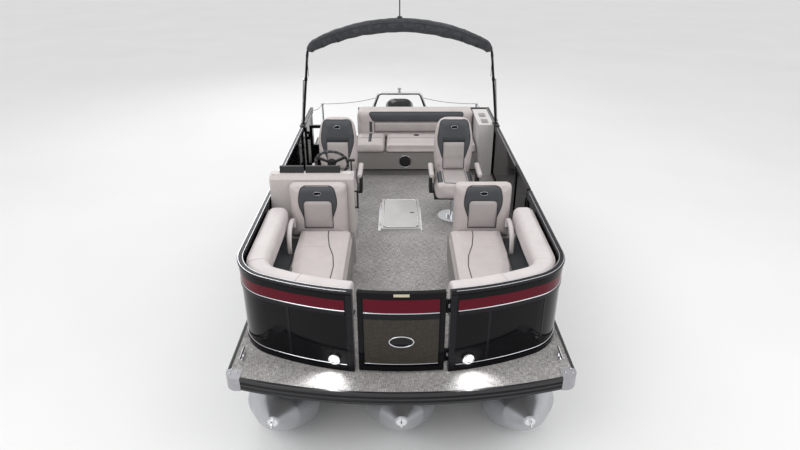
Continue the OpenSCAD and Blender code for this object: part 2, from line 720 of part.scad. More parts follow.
module chair_cushions() color("linen") {
    translate([0, 0, seat_plate + 22 + seat_gap]) linear_extrude(chair_seat_h - seat_plate - 22) polygon([
        [-205, -270], [205, -270], [225, -240], [225, back_s - 6], [-225, back_s - 6], [-225, -240]
    ]);
    rake = 0.1;
    side_profile([
        [back_s, back_low], [back_rear(back_low), back_low], [back_rear(bracket_top), bracket_top],
        [back_s + 97 + rake * 300, bracket_top + 40], [back_s + 97 + rake * 560, chair_top - 30],
        [back_s + 60 + rake * 560, chair_top], [back_s + 20 + rake * 560, chair_top],
        [back_s + rake * 560 - 10, chair_top - 40]
    ], -232, 232);
    for (side = [-1, 1]) translate([side * (arm_out - arm_t / 2), 0, 0])
        side_profile([[-190, seat_plate + 290], [-205, seat_plate + 262], [-190, seat_plate + 240 + seat_gap],
                      [170, seat_plate + 240 + seat_gap], [170, seat_plate + 305]], -arm_t / 2, arm_t / 2);
}
module at_chair(x) place() translate([x, chair_s, deck_z]) children();
module helm_chair_frame() at_chair(-helm_chair_x) color("dimgray") chair_frame();
module helm_chair_cushions() at_chair(-helm_chair_x) chair_cushions();
module companion_chair_frame() at_chair(companion_chair_x) color("dimgray") chair_frame();
module companion_chair_cushions() at_chair(companion_chair_x) chair_cushions();

// ---------- rear bench ----------

kick = 85;
module bench_base() place() deck_up() color("gray") side_profile([
    [bench_front + kick, 0], [bench_front + kick, 75], [bench_front + 30, 90], [bench_front + 30, base_h],
    [bench_aft, base_h], [bench_aft, 0]
], bench_end, bench_port_end);

bench_split = -189;
module bench_seats() place() deck_up(base_h + seat_gap) color("linen")
    for (span = [[bench_end, bench_split - 3], [bench_split + 3, bench_port_end]])
        side_profile([[bench_front, 0], [bench_front, cushion_t - 30], [bench_front + 30, cushion_t],
                      [bench_crease - 4, cushion_t], [bench_crease - 4, 0]], span[0], span[1]);

bench_back_h = 745;
module bench_back() place() deck_up() color("linen") side_profile([
    [bench_crease, base_h + seat_gap], [bench_aft - 2, base_h + seat_gap], [bench_aft - 2, bench_back_h - 40],
    [bench_aft - 40, bench_back_h], [bench_crease + 100, bench_back_h], [bench_crease + 65, bench_back_h - 40]
], bench_end, bench_port_end);

locker_top = 690;
slot = [90, 200];
// Storage column in the port quarter with two open slots on top
module stern_locker() place() deck_up() color("linen") difference() {
    translate([bench_port_end + 6, bench_front + 60, 0])
        cube([inner_half - bench_port_end - 12, bench_aft - bench_front - 60, locker_top]);
    for (s = [bench_front + 130, bench_front + 410])
        translate([(bench_port_end + inner_half) / 2 - slot[0] / 2, s, locker_top - 110])
            cube([slot[0], slot[1], 120]);
}

// ---------- floor hatch ----------

frame_w = 26;
lid_t = 14;
hatch_hinge_z = deck_z + 2;
lid_gap = 3;
frame_h = 6;
module hatch_frame() place() color("silver") {
    out_w = tub_out_w + 2 * frame_w;
    out_l = tub_out_l + 2 * frame_w;
    difference() {
        deck_up() translate([-out_w / 2, hatch_s - out_l / 2, 0]) cube([out_w, out_l, frame_h]);
        deck_up(-1) translate([-hatch_wid / 2, hatch_s - hatch_len / 2, 0]) cube([hatch_wid, hatch_len, 10]);
    }
    translate([-hatch_wid / 2 - hatch_ear - 2, 0, 0]) for (s = hatch_hinges) {
        for (end = [-hinge_w / 2 - 8.5, hinge_w / 2 + 0.5]) translate([0, hatch_s + s + end, 0]) {
            deck_up(frame_h + 10) rotate([-90, 0, 0]) cylinder(h = 8, r = 8);
            deck_up(frame_h - 1) translate([-8, 0, 0]) cube([16, 8, 11]);
        }
        deck_up(frame_h + 10) translate([0, hatch_s + s - hinge_w / 2 - 8.5, 0]) rotate([-90, 0, 0])
            cylinder(h = hinge_w + 17, r = hatch_pin);
    }
}
hatch_ear = 14;
hinge_w = 40;
hatch_pin = 3;
hatch_hinges = [-250, 250];
lid_low = frame_h + 1;
module hatch_lid() place() color("lightgray") {
    lid_over = 14;
    pin_x = -hatch_wid / 2 - hatch_ear - 2;
    difference() {
        union() {
            deck_up(lid_low) translate([-hatch_wid / 2 - 2, hatch_s - hatch_len / 2 - lid_over, 0])
                cube([hatch_wid + 2 + lid_over, hatch_len + 2 * lid_over, lid_t]);
            for (s = hatch_hinges) translate([pin_x, hatch_s + s - hinge_w / 2, 0]) {
                deck_up(frame_h + 10) rotate([-90, 0, 0]) cylinder(h = hinge_w, r = 8);
                deck_up(frame_h + 7) cube([20, hinge_w, 8]);
            }
        }
        for (s = hatch_hinges) translate([pin_x, hatch_s + s - hinge_w / 2 - 1, 0])
            deck_up(frame_h + 10) rotate([-90, 0, 0]) cylinder(h = hinge_w + 2, r = hatch_pin + run_fit);
        deck_up(lid_low + lid_t - 5) translate([hatch_wid / 2 - 40, hatch_s - 30, 0]) cube([22, 60, 6]);
    }
}
module locker_tub() place() color("darkgray") difference() {
    translate([-tub_out_w / 2, hatch_s - tub_out_l / 2, tub_floor]) cube([tub_out_w, tub_out_l, tub_depth]);
    translate([-hatch_wid / 2, hatch_s - hatch_len / 2, tub_floor + tub_wall])
        cube([hatch_wid, hatch_len, tub_depth]);
}

// ---------- bimini ----------

eye_w = 18;
mount_t = 8;
rail_top = deck_z + fence_h + cap_h;
bimini_pin = 6;
module bimini_mounts() place() color([0.1, 0.1, 0.1]) both() {
    translate([bimini_half - 24, bimini_s - 40, rail_top])
        cube([strut_side + 44, strut_foot + 80, mount_t]);
    for (spot = [[bimini_half, bimini_s], [bimini_half + strut_side, bimini_s + strut_foot]])
        translate([spot[0], spot[1], 0]) {
            translate([-eye_w / 2 - 9, -15, rail_top]) cube([8, 30, bimini_z - rail_top]);
            translate([-eye_w / 2 - 9, 0, bimini_z]) rotate([0, 90, 0]) {
                cylinder(h = 8, r = 15);
                cylinder(h = eye_w + 14, r = bimini_pin);
                translate([0, 0, eye_w + 10]) cylinder(h = 4, r = 10);
            }
        }
}

module frame_eye() difference() {
    union() {
        rotate([0, 90, 0]) cylinder(h = eye_w, r = 15, center = true);
        translate([-eye_w / 2, -10, 0]) cube([eye_w, 20, 30]);
    }
    rotate([0, 90, 0]) cylinder(h = eye_w + 2, r = bimini_pin + run_fit, center = true);
}
neck = 27;
// Joint sleeves inside the boot
sleeve = 24;
sleeve_over = 0.2;
// Legs, shoulder bends and crown are one bent tube
module bow_path() {
    both() translate([shoulder_x, 0, shoulder_z]) rotate([90, 0, 0]) rotate([0, 0, leg_lean])
        rotate_extrude(angle = crown_angle - leg_lean, $fn = 120) translate([shoulder_r, 0]) children();
    translate([0, 0, crown_z]) rotate([90, 0, 0]) rotate([0, 0, crown_angle])
        rotate_extrude(angle = 180 - 2 * crown_angle, $fn = 360) translate([crown_r, 0]) children();
}
clamp_at = strut_up;
module bimini_frame() place() color([0.15, 0.15, 0.17]) translate([0, bimini_s, bimini_z]) {
    bow_path() circle(bow_tube_r, $fn = 48);
    both() translate([0, 0, crown_z]) rotate([0, -crown_angle, 0]) translate([crown_r, 0, -sleeve / 2])
        cylinder(h = sleeve, r = bow_tube_r + sleeve_over);
    both() {
        translate([bimini_half, 0, 0]) {
            frame_eye();
            rotate([0, -leg_lean, 0]) {
                translate([0, 0, neck]) cylinder(h = leg_len - neck, r = bow_tube_r);
                translate([0, 0, leg_len - 30]) cylinder(h = 32, r = bow_tube_r + 2);
                translate([0, 0, clamp_at - 20]) cylinder(h = 40, r = bow_tube_r + 4);
            }
        }
    }
}
// A strut leans from its foot on the mount to the clamp on the leg
module bimini_struts() place() color("silver") translate([0, bimini_s, bimini_z]) both() {
    top = [bimini_half + strut_side - clamp_at * sin(leg_lean), 0, clamp_at * cos(leg_lean)];
    foot = [bimini_half + strut_side, strut_foot, 0];
    axis = (top - foot) / norm(top - foot);
    rod(foot + axis * 22, top, 10);
    translate(foot) difference() {
        union() {
            rotate([0, 90, 0]) cylinder(h = eye_w - 4, r = 13, center = true);
            rotate([11, 0, 0]) translate([-7, -8, 0]) cube([14, 16, 26]);
        }
        rotate([0, 90, 0]) cylinder(h = eye_w + 2, r = bimini_pin + run_fit, center = true);
    }
}
boot_w = 74;
boot_low = 105;
boot_high = 62;
// Boot section round the frame tube, X outward from the tube, Y fore and aft
module boot_section(grow = 1) difference() {
    scale(grow) polygon([[-boot_low, -boot_w + 25], [-boot_low + 30, -boot_w], [boot_high - 30, -boot_w],
                         [boot_high, -boot_w + 25], [boot_high, boot_w - 25], [boot_high - 30, boot_w],
                         [-boot_low + 30, boot_w], [-boot_low, boot_w - 25]]);
    circle(bow_tube_r + 2 * seat_gap, $fn = 48);
}
module bimini_boot() place() color([0.2, 0.2, 0.22]) translate([0, bimini_s, bimini_z]) {
    translate([0, 0, crown_z]) rotate([90, 0, 0]) rotate([0, 0, crown_angle])
        rotate_extrude(angle = 180 - 2 * crown_angle, $fn = 360) translate([crown_r, 0]) boot_section();
    both() translate([shoulder_x, 0, shoulder_z]) rotate([90, 0, 0]) rotate([0, 0, leg_lean + 1])
        rotate_extrude(angle = crown_angle - leg_lean - 1.2, $fn = 120) translate([shoulder_r, 0])
            boot_section(0.62);
}
crown_top = crown_z + crown_r + boot_high;
module light_mast() place() color("silver") translate([0, bimini_s, bimini_z + crown_top + seat_gap]) {
    cylinder(h = 14, r1 = 34, r2 = 22);
    cylinder(h = 300, r = 7);
    translate([0, 0, 300]) cylinder(h = 34, r = 15);
}

// ---------- stern rails ----------

tow_s = 5045;
tow_top = 835;
tow_half = 300;
tow_foot = 600;
tow_r = 21;
tow_bend = 60;
tow_lean = atan2(tow_foot - tow_half, tow_top - tow_r);
tow_tangent = tow_bend * tan((90 - tow_lean) / 2);
module tow_half_arch() {
    corner = [tow_half, tow_s, tow_top - tow_r];
    down = [sin(tow_lean), 0, -cos(tow_lean)];
    rod(corner + down * norm([tow_foot - tow_half, tow_top - tow_r - 9]), corner + down * tow_tangent, tow_r);
    translate([tow_half - tow_tangent, tow_s, tow_top - tow_r - tow_bend]) rotate([90, 0, 0])
        rotate([0, 0, tow_lean]) rotate_extrude(angle = 90 - tow_lean) translate([tow_bend, 0]) circle(tow_r);
    translate([tow_half - tow_tangent - 26, tow_s, tow_top - tow_r]) rotate([0, 90, 0])
        cylinder(h = 30, r = tow_r + 2);
    rod(corner + down * (tow_tangent + 26), corner + down * (tow_tangent - 4), tow_r + 2);
    translate([tow_foot, tow_s, 0]) cylinder(h = 10, r = 55);
}
// Two braces run forward from collars on the legs
brace_r = 14;
brace_top = 600;
collar_h = 50;
module tow_brace() {
    leg_x = tow_half + (tow_foot - tow_half) * (1 - brace_top / (tow_top - tow_r));
    lean = [0, -tow_lean, 0];
    rod([tow_foot - 15, tow_s - 270, 9], [leg_x, tow_s - tow_r - 24, brace_top - 5], brace_r);
    translate([tow_foot - 15, tow_s - 270, 0]) cylinder(h = 10, r = 40);
    translate([leg_x, tow_s, brace_top]) rotate(lean) cylinder(h = collar_h, r = tow_r + 4, center = true);
    translate([leg_x, tow_s, brace_top]) rotate(lean) translate([-20, -tow_r - 50, -collar_h / 2])
        cube([40, 54, collar_h]);
}
module tow_bar() place() deck_up() color("gainsboro") {
    both() {
        tow_half_arch();
        tow_brace();
    }
    translate([tow_tangent - tow_half, tow_s, tow_top - tow_r]) rotate([0, 90, 0])
        cylinder(h = 2 * (tow_half - tow_tangent), r = tow_r);
    translate([0, tow_s, tow_top - tow_r]) cylinder(h = tow_r + 56, r = 17);
    translate([0, tow_s, tow_top + 40]) cylinder(h = 14, r = 30);
}
post_x = 1140;
stern_post_s = 5180;
stern_post_h = 615;
ball_r = 22;
module stern_posts() place() deck_up() color("silver") both() translate([post_x, stern_post_s, 0]) {
    cylinder(h = 10, r = 45);
    cylinder(h = stern_post_h, r = 14);
    translate([0, 0, stern_post_h + 10]) sphere(ball_r);
}

// Guard lines from the tow bar to a stern post and on to the side rail; points are chosen by hand
line_r = 4;
inner_line = [[351, 5045, 747], [440, 5062, 720], [570, 5085, 689], [720, 5112, 662], [880, 5140, 642],
              [1010, 5160, 631], [1118, 5177, 626]];
outer_line = [[1142, 5158, 625], [1152, 5080, 616], [1164, 5000, 613], [1178, 4920, 616], [1193, 4840, 627],
              [1210, 4770, 643], [1230, 4717, 660]];
function unit(v) = v / norm(v);
function ahead(p, i) = unit(p[min(i + 1, len(p) - 1)] - p[max(i - 1, 0)]);
function ring(p, i, sides) = let (t = ahead(p, i), u = unit(cross(t, [0, 0, 1])), v = cross(u, t))
    [for (k = [0:sides - 1]) p[i] + line_r * (cos(360 * k / sides) * u + sin(360 * k / sides) * v)];
module line_tube(p, sides = 8) {
    last = len(p) - 1;
    polyhedron(
        points = [for (i = [0:last]) each ring(p, i, sides)],
        faces = concat(
            [[for (k = [sides - 1:-1:0]) k]],
            [for (i = [0:last - 1], k = [0:sides - 1])
                [i * sides + (k + 1) % sides, (i + 1) * sides + (k + 1) % sides, (i + 1) * sides + k,
                 i * sides + k]],
            [[for (k = [0:sides - 1]) last * sides + k]]
        )
    );
}
module guard_lines() place() deck_up() color("lightgray") both() {
    line_tube(inner_line);
    line_tube(outer_line);
}

// ---------- boarding ladder ----------

ladder_x = 860;
ladder_half = 160;
ladder_len = 640;
ladder_z = deck_z + 44;
ladder_s = deck_aft + rub_t + 26;
rung_r = 11;
module ladder_brackets() place() color("silver") for (side = [-1, 1])
    translate([-ladder_x + side * (ladder_half + 28), 0, 0]) {
        side_profile([[deck_aft - 130, deck_z], [deck_aft - 10, deck_z], [ladder_s + 13, ladder_z - 13],
                      [ladder_s + 13, ladder_z + 13], [ladder_s - 30, ladder_z + 13],
                      [deck_aft - 130, deck_z + 18]], -4, 4);
        translate([side < 0 ? -4 : 4, ladder_s, ladder_z]) rotate([0, side < 0 ? 90 : -90, 0])
            cylinder(h = 46, r = 5);
    }
// The ladder lies folded forward on the swim deck
module boarding_ladder() place() color("silver") translate([-ladder_x, ladder_s, ladder_z]) difference() {
    union() {
        for (side = [-1, 1]) {
            translate([side * ladder_half, 0, 0]) rotate([90, 0, 0]) cylinder(h = ladder_len, r = 14);
            translate([side * ladder_half, 0, 0]) rotate([0, 90, 0]) cylinder(h = 34, r = 15, center = true);
        }
        for (i = [1:3]) translate([-ladder_half, -i * (ladder_len - 20) / 3, 0]) rotate([0, 90, 0])
            cylinder(h = 2 * ladder_half, r = rung_r);
        for (i = [1:3]) translate([-ladder_half, -i * (ladder_len - 20) / 3 - 28, -2])
            cube([2 * ladder_half, 56, 9]);
    }
    for (side = [-1, 1]) translate([side * ladder_half, 0, 0]) rotate([0, 90, 0])
        cylinder(h = 40, r = 5 + run_fit, center = true);
}

// ---------- outboard motor ----------
// Drawn upright around its tilt tube: Y aft, Z up, then tilted to its parked angle

module at_tilt() place() translate([0, tilt_s, tilt_z]) children();
module tilted() at_tilt() rotate([tilt_rest, 0, 0]) children();

tilt_tube_r = 16;
swivel_half = 62;
steer_a = 130;
steer_r = 20;
module motor_bracket() at_tilt() color([0.08, 0.08, 0.08]) {
    for (side = [-1, 1]) side_profile([[-65, -250], [-40, -250], [22, -30], [22, 22], [-22, 22], [-65, -20]],
                                      side * 74 - 8, side * 74 + 8);
    rotate([0, 90, 0]) cylinder(h = 190, r = tilt_tube_r, center = true);
}
sleeve_low = -330;
sleeve_high = -20;
module motor_swivel() tilted() color([0.08, 0.08, 0.08]) difference() {
    union() {
        rotate([0, 90, 0]) cylinder(h = 2 * swivel_half, r = 32, center = true);
        translate([0, steer_a, sleeve_low]) cylinder(h = sleeve_high - sleeve_low, r = 38);
        side_profile([[0, -32], [0, 20], [28, 22], [steer_a - 52, sleeve_high - 6], [steer_a, sleeve_high - 6],
                      [steer_a, sleeve_low + 60], [60, -120]], -26, 26);
    }
    rotate([0, 90, 0]) cylinder(h = 200, r = tilt_tube_r + run_fit, center = true);
    translate([0, steer_a, sleeve_low - 1]) cylinder(h = sleeve_high - sleeve_low + 2, r = steer_r + run_fit);
}

cowl_low = 150;
// Slices of the cowl: [height, front, aft, half width]
cowl_slices = [[cowl_low, -150, 430, 165], [320, -205, 475, 214], [600, -190, 470, 208],
               [735, -120, 425, 170], [815, -10, 320, 105]];
cowl_round = 80;
module cowl_slice(s) translate([0, 0, s[0]]) for (x = [-1, 1], y = [s[1] + cowl_round, s[2] - cowl_round])
    translate([x * (s[3] - cowl_round), y, 0]) cylinder(h = 2, r = cowl_round, $fn = 32);
module motor_cowl() tilted() color([0.03, 0.03, 0.035]) hull() for (s = cowl_slices) cowl_slice(s);

leg_front = 182;
leg_aft = 340;
leg_half = 58;
plate_depth = 635;
gear_r = 54;
// Rounded upright section of the drive leg
module leg_section(front, aft, half, r) {
    for (y = [front + r, aft - r]) translate([0, y]) scale([half / r, 1]) circle(r, $fn = 12);
    translate([-half, front + r]) square([2 * half, aft - front - 2 * r]);
}
module foil(front, aft, half) polygon([[0, front], [half * 0.7, front + (aft - front) * 0.12],
    [half, front + (aft - front) * 0.35], [half * 0.8, front + (aft - front) * 0.7], [0, aft],
    [-half * 0.8, front + (aft - front) * 0.7], [-half, front + (aft - front) * 0.35],
    [-half * 0.7, front + (aft - front) * 0.12]]);
module motor_leg() tilted() color([0.04, 0.04, 0.045]) {
    translate([0, 0, -plate_depth]) linear_extrude(plate_depth + cowl_low - seat_gap)
        foil(leg_front, leg_aft + 60, leg_half + 12);
    translate([0, 0, -plate_depth - 90]) linear_extrude(100) foil(leg_front - 20, leg_aft + 80, 44);
    translate([-40, steer_a - 30, sleeve_high + 2]) cube([80, leg_front + 60 - steer_a, 40]);
    translate([0, steer_a, sleeve_high + 2]) cylinder(h = 40, r = 40);
    translate([-40, steer_a - 30, sleeve_low - 42]) cube([80, leg_front + 60 - steer_a, 40]);
    translate([0, steer_a, sleeve_low - 42]) cylinder(h = 40, r = 40);
    translate([0, steer_a, sleeve_low - 10]) cylinder(h = sleeve_high - sleeve_low + 20, r = steer_r);
    translate([0, 0, -plate_depth - 8]) linear_extrude(10) polygon([
        [-40, 130], [40, 130], [92, 240], [100, 480], [80, 560], [-80, 560], [-100, 480], [-92, 240]]);
    translate([0, 0, -shaft_depth + 20]) linear_extrude(shaft_depth - plate_depth - 60) foil(150, 425, 34);
    translate([0, 440, -shaft_depth]) rotate([90, 0, 0]) rotate_extrude()
        polygon([[0, 0], [46, 0], [gear_r, 60], [gear_r, 220], [40, 290], [16, 325], [0, 332]]);
    side_profile([[200, -shaft_depth], [400, -shaft_depth], [410, -1040], [330, -1062]], -7, 7);
    translate([0, 440, -shaft_depth]) rotate([-90, 0, 0]) cylinder(h = 116, r = prop_shaft);
}
prop_shaft = 12;
prop_start = 446;
module propeller() tilted() color("silver") translate([0, 0, -shaft_depth]) difference() {
    union() {
        translate([0, prop_start, 0]) rotate([-90, 0, 0]) cylinder(h = 100, r1 = 46, r2 = 38);
        for (a = [0, 120, 240]) rotate([0, a, 0]) translate([0, prop_plane, -prop_r / 2])
            rotate([0, 0, blade_pitch]) rotate([90, 0, 0]) intersection() {
                cylinder(h = blade_t, r = prop_r / 2, center = true);
                translate([-62, -prop_r / 2, -10]) cube([124, prop_r, 20]);
            }
    }
    translate([0, prop_start - 1, 0]) rotate([-90, 0, 0]) cylinder(h = 102, r = prop_shaft + run_fit);
}

pontoon_starboard();
pontoon_centre();
pontoon_port();
risers();
cross_members();
motor_pod();
deck();
rub_rails();
corner_castings();
cleats();
bow_eyes();
fence_starboard();
fence_port_bow();
fence_port_aft();
fence_stern();
top_rails();
gate_posts();
bow_gate();
side_gate();
stern_gate();
docking_lights();
lounge_base_starboard();
lounge_base_port();
lounge_seat_starboard();
lounge_seat_port();
lounge_back_starboard();
lounge_back_port();
lounge_wrap_starboard();
lounge_wrap_port();
lounge_armrests();
helm_console();
dash_fittings();
steering_wheel();
chair_pedestals();
helm_chair_frame();
helm_chair_cushions();
companion_chair_frame();
companion_chair_cushions();
bench_base();
bench_seats();
bench_back();
stern_locker();
hatch_frame();
hatch_lid();
locker_tub();
bimini_mounts();
bimini_frame();
bimini_struts();
bimini_boot();
light_mast();
tow_bar();
stern_posts();
guard_lines();
ladder_brackets();
boarding_ladder();
motor_bracket();
motor_swivel();
motor_cowl();
motor_leg();
propeller();
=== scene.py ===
import json
import math

import bmesh
import bpy
import numpy as np
from mathutils import Matrix, Vector, noise
from mathutils.bvhtree import BVHTree

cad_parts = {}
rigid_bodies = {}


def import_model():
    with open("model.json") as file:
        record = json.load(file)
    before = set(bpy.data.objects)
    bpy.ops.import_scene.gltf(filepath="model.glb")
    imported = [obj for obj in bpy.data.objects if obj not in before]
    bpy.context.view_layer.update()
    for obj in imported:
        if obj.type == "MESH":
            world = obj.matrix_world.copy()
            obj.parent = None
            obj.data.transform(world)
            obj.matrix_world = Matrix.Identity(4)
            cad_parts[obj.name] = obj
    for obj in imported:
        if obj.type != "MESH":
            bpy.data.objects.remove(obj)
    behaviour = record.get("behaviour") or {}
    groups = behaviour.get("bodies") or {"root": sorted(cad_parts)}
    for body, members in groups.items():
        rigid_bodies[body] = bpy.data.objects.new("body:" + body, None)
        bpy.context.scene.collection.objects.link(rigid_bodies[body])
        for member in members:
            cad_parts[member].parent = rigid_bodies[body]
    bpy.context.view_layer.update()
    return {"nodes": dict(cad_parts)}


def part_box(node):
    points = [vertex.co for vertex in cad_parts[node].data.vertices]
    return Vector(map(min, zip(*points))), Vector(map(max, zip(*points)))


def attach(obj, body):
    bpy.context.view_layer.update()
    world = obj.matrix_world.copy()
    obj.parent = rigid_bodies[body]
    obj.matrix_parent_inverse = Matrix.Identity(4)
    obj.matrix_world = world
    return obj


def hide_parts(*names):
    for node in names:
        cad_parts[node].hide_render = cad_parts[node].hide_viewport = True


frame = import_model()
NODES = frame["nodes"]
scene = bpy.context.scene

# Stations run aft from the bow gate's plane, heights run up from the deck
HATCH_S = 2.68
hatch_lo, hatch_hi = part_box("hatch_frame")
GATE_Y = (hatch_lo.y + hatch_hi.y) / 2 - HATCH_S
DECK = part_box("deck")[1].z
UP = Vector((0, 0, 1)).freeze()
SIDES = ((1, "port"), (-1, "starboard"))


def at(x, s, z):
    return Vector((x, GATE_Y + s, DECK + z))


# ---------- camera and stage ----------

cam = bpy.data.objects.new("camera", bpy.data.cameras.new("camera"))
scene.collection.objects.link(cam)
cam.data.sensor_width = 36
cam.data.lens = 26.63
cam.location = at(-0.022, -3.454, 2.926)
cam.rotation_euler = (math.radians(63.5), 0, math.radians(-0.2))
scene.camera = cam


# ---------- materials ----------

def setup(node, **values):
    """Sets the inputs of a node; an underscore stands for a space in an input's name."""
    for key, value in values.items():
        node.inputs[key.replace("_", " ")].default_value = value
    return node


def shade(c, k):
    return tuple(min(1, max(0, v * k)) for v in c)


class Shader:
    """A principled material and the nodes that feed it."""

    def __init__(self, name, **values):
        self.material = bpy.data.materials.new(name)
        self.material.use_nodes = True
        self.nodes, self.link = self.material.node_tree.nodes, self.material.node_tree.links.new
        self.bsdf = setup(self.nodes["Principled BSDF"], **values)

    def node(self, kind, vector=None, **values):
        n = setup(self.nodes.new("ShaderNode" + kind), **values)
        if vector is not None:
            self.link(vector, n.inputs["Vector"])
        return n

    def coords(self, scale=(1, 1, 1)):
        return self.node("Mapping", self.node("TexCoord").outputs["Object"], Scale=scale).outputs["Vector"]

    def noise(self, vector, scale, detail=4.0, rough=0.6):
        return self.node("TexNoise", vector, Scale=scale, Detail=detail, Roughness=rough).outputs["Fac"]

    def wave(self, direction, scale, **values):
        w = self.node("TexWave", self.coords(), Scale=scale, **values)
        w.bands_direction = direction
        return w.outputs["Fac"]

    def math(self, op, a, b):
        n = self.node("Math")
        n.operation = op
        for i, v in enumerate((a, b)):
            if isinstance(v, (int, float)):
                n.inputs[i].default_value = v
            else:
                self.link(v, n.inputs[i])
        return n.outputs[0]

    def color(self, value, *stops, to="Base Color"):
        """Colours an input by a ramp of (position, colour) stops."""
        r = self.node("ValToRGB")
        e = r.color_ramp.elements
        while len(e) < len(stops):
            e.new(0.5)
        for item, (pos, col) in zip(e, stops):
            item.position = pos
            item.color = (*col, 1)
        self.link(value, r.inputs["Fac"])
        self.link(r.outputs["Color"], self.bsdf.inputs[to])

    def bump(self, height, strength, distance):
        b = self.node("Bump", Strength=strength, Distance=distance)
        self.link(height, b.inputs["Height"])
        self.link(b.outputs["Normal"], self.bsdf.inputs["Normal"])

    def rough(self, value, low, high):
        r = self.node("MapRange", To_Min=low, To_Max=high)
        self.link(value, r.inputs["Value"])
        self.link(r.outputs["Result"], self.bsdf.inputs["Roughness"])

    def crossed(self, one_way, other_way):
        """Noise drawn out in one direction, and its mean with noise drawn out in the other."""
        warp, weft = (self.noise(self.coords(scale), 1, 3, 0.7) for scale in (one_way, other_way))
        return warp, self.math("MULTIPLY", self.math("ADD", warp, weft), 0.5)


def vinyl(name, color, rough=0.5, grain=420):
    s = Shader(name, Specular_IOR_Level=0.4)
    v = s.coords()
    big = s.noise(v, 5, 3)
    s.color(big, (0.3, shade(color, 0.93)), (0.7, shade(color, 1.05)))
    cells = s.node("TexVoronoi", v, Scale=grain).outputs["Distance"]
    pores = s.math("ADD", cells, s.noise(v, grain * 1.7, 2))
    s.bump(s.math("ADD", pores, s.math("MULTIPLY", s.noise(v, 26, 3, 0.5), 2.2)), 0.25, 0.0009)
    s.rough(big, rough - 0.07, rough + 0.08)
    return s.material


def paint(name, color, rough=0.25, coat=0.2, speck=0.12, scale=60, height=0.0004, spec=0.35):
    s = Shader(name, Coat_Weight=coat, Coat_Roughness=0.06, Specular_IOR_Level=spec)
    v = s.coords()
    s.color(s.noise(v, scale, 5), (0.3, shade(color, 1 - speck)), (0.7, shade(color, 1 + speck)))
    s.rough(s.noise(v, 9, 4), rough * 0.8, rough * 1.25)
    s.bump(s.noise(v, scale * 6, 2), 0.12, height)
    return s.material


def metal(name, color, rough=0.22, stretch=(1, 1, 1), scale=300, streak=0.08, aniso=0.0):
    s = Shader(name, Metallic=1.0, Anisotropic=aniso)
    f = s.noise(s.coords(stretch), scale, 4)
    s.color(f, (0.3, shade(color, 1 - streak)), (0.7, shade(color, 1 + streak)))
    s.rough(s.noise(s.coords(), 7, 5), rough * 0.7, rough * 1.4)
    s.bump(f, 0.1, 0.0004)
    return s.material


def woven_floor(name):
    s = Shader(name)
    warp, both_ways = s.crossed((240, 22, 60), (22, 240, 60))
    cloud = s.math("MULTIPLY", s.noise(s.coords(), 3, 3), 0.12)
    s.color(s.math("ADD", s.math("SUBTRACT", both_ways, 0.06), cloud),
            (0.37, (0.085, 0.080, 0.078)), (0.45, (0.25, 0.24, 0.235)),
            (0.53, (0.41, 0.395, 0.385)), (0.61, (0.74, 0.73, 0.71)))
    s.rough(warp, 0.5, 0.75)
    grid = s.node("TexBrick", s.coords(), Scale=1, Brick_Width=0.006, Row_Height=0.003, Mortar_Size=0.0005,
                  Mortar_Smooth=0.6)
    s.bump(s.math("SUBTRACT", both_ways, grid.outputs["Fac"]), 0.4, 0.0012)
    return s.material


def weave(name, dark, light, pitch, rough, strength):
    s = Shader(name, Sheen_Weight=0.2)
    x, y, z = (s.wave(axis, pitch / 20, Distortion=0.6, Detail=1) for axis in "XYZ")
    h = s.math("ADD", s.math("ADD", x, y), z)
    mottled = s.noise(s.coords(), 22, 5)
    s.color(s.math("ADD", s.math("MULTIPLY", h, 0.16), s.math("MULTIPLY", mottled, 0.5)), (0.3, dark), (0.7, light))
    s.rough(mottled, rough - 0.08, rough + 0.08)
    s.bump(h, strength, 0.0006)
    return s.material


def screen_mesh(name, dark, light):
    """Fine cross-woven screen with faint streaks both ways."""
    s = Shader(name, Specular_IOR_Level=0.25)
    warp, value = s.crossed((420, 420, 26), (26, 26, 420))
    s.color(value, (0.38, dark), (0.64, light))
    s.rough(warp, 0.4, 0.65)
    s.bump(value, 0.5, 0.0008)
    return s.material


def grooved(name, color, pitch=0.018, rough=0.35):
    s = Shader(name)
    f = s.noise(s.coords(), 90, 4)
    s.color(f, (0.3, shade(color, 0.7)), (0.7, shade(color, 1.4)))
    s.rough(f, rough, rough + 0.15)
    s.bump(s.wave("Z", 1 / pitch / 3.2), 0.7, 0.004)
    return s.material


def glow(name, color, strength):
    s = Shader(name, Emission_Strength=strength, Base_Color=(*color, 1), Roughness=0.15)
    s.color(s.noise(s.coords(), 140, 2), (0.2, shade(color, 0.9)), (0.8, color), to="Emission Color")
    return s.material


IVORY = vinyl("ivory_vinyl", (0.56, 0.51, 0.50))
IVORY_ROLL = vinyl("ivory_roll_vinyl", (0.66, 0.615, 0.61))
TAUPE = vinyl("taupe_vinyl", (0.43, 0.395, 0.39))
CHARCOAL = vinyl("charcoal_vinyl", (0.068, 0.072, 0.080), 0.55)
# near-black vinyl: in the lounges' armrest wells it is the charcoal lining darkened further with painted shade; it also
# covers the console's side recesses and the chair backs' dark band
DARK_VINYL_AND_SHADE = vinyl("dark_vinyl_and_painted_shade", (0.045, 0.05, 0.055), 0.6)
PIPING = vinyl("piping_vinyl", (0.03, 0.032, 0.035), 0.45, 600)
FLOOR_VINYL = woven_floor("woven_deck_vinyl")
BLACK = paint("gloss_black_panel", (0.003, 0.003, 0.004), 0.08, 0.04, spec=0.12)
RAIL = paint("black_rail", (0.005, 0.005, 0.007), 0.26, 0.05, spec=0.18)
BURGUNDY = paint("burgundy_band", (0.098, 0.002, 0.011), 0.18, 0.04, spec=0.12)
MESH = screen_mesh("smoked_mesh", (0.016, 0.013, 0.010), (0.060, 0.052, 0.043))
TRIM = metal("bright_trim", (0.62, 0.63, 0.66), 0.18)
CHROME = metal("polished_casting", (0.80, 0.80, 0.82), 0.12, scale=40, streak=0.05)
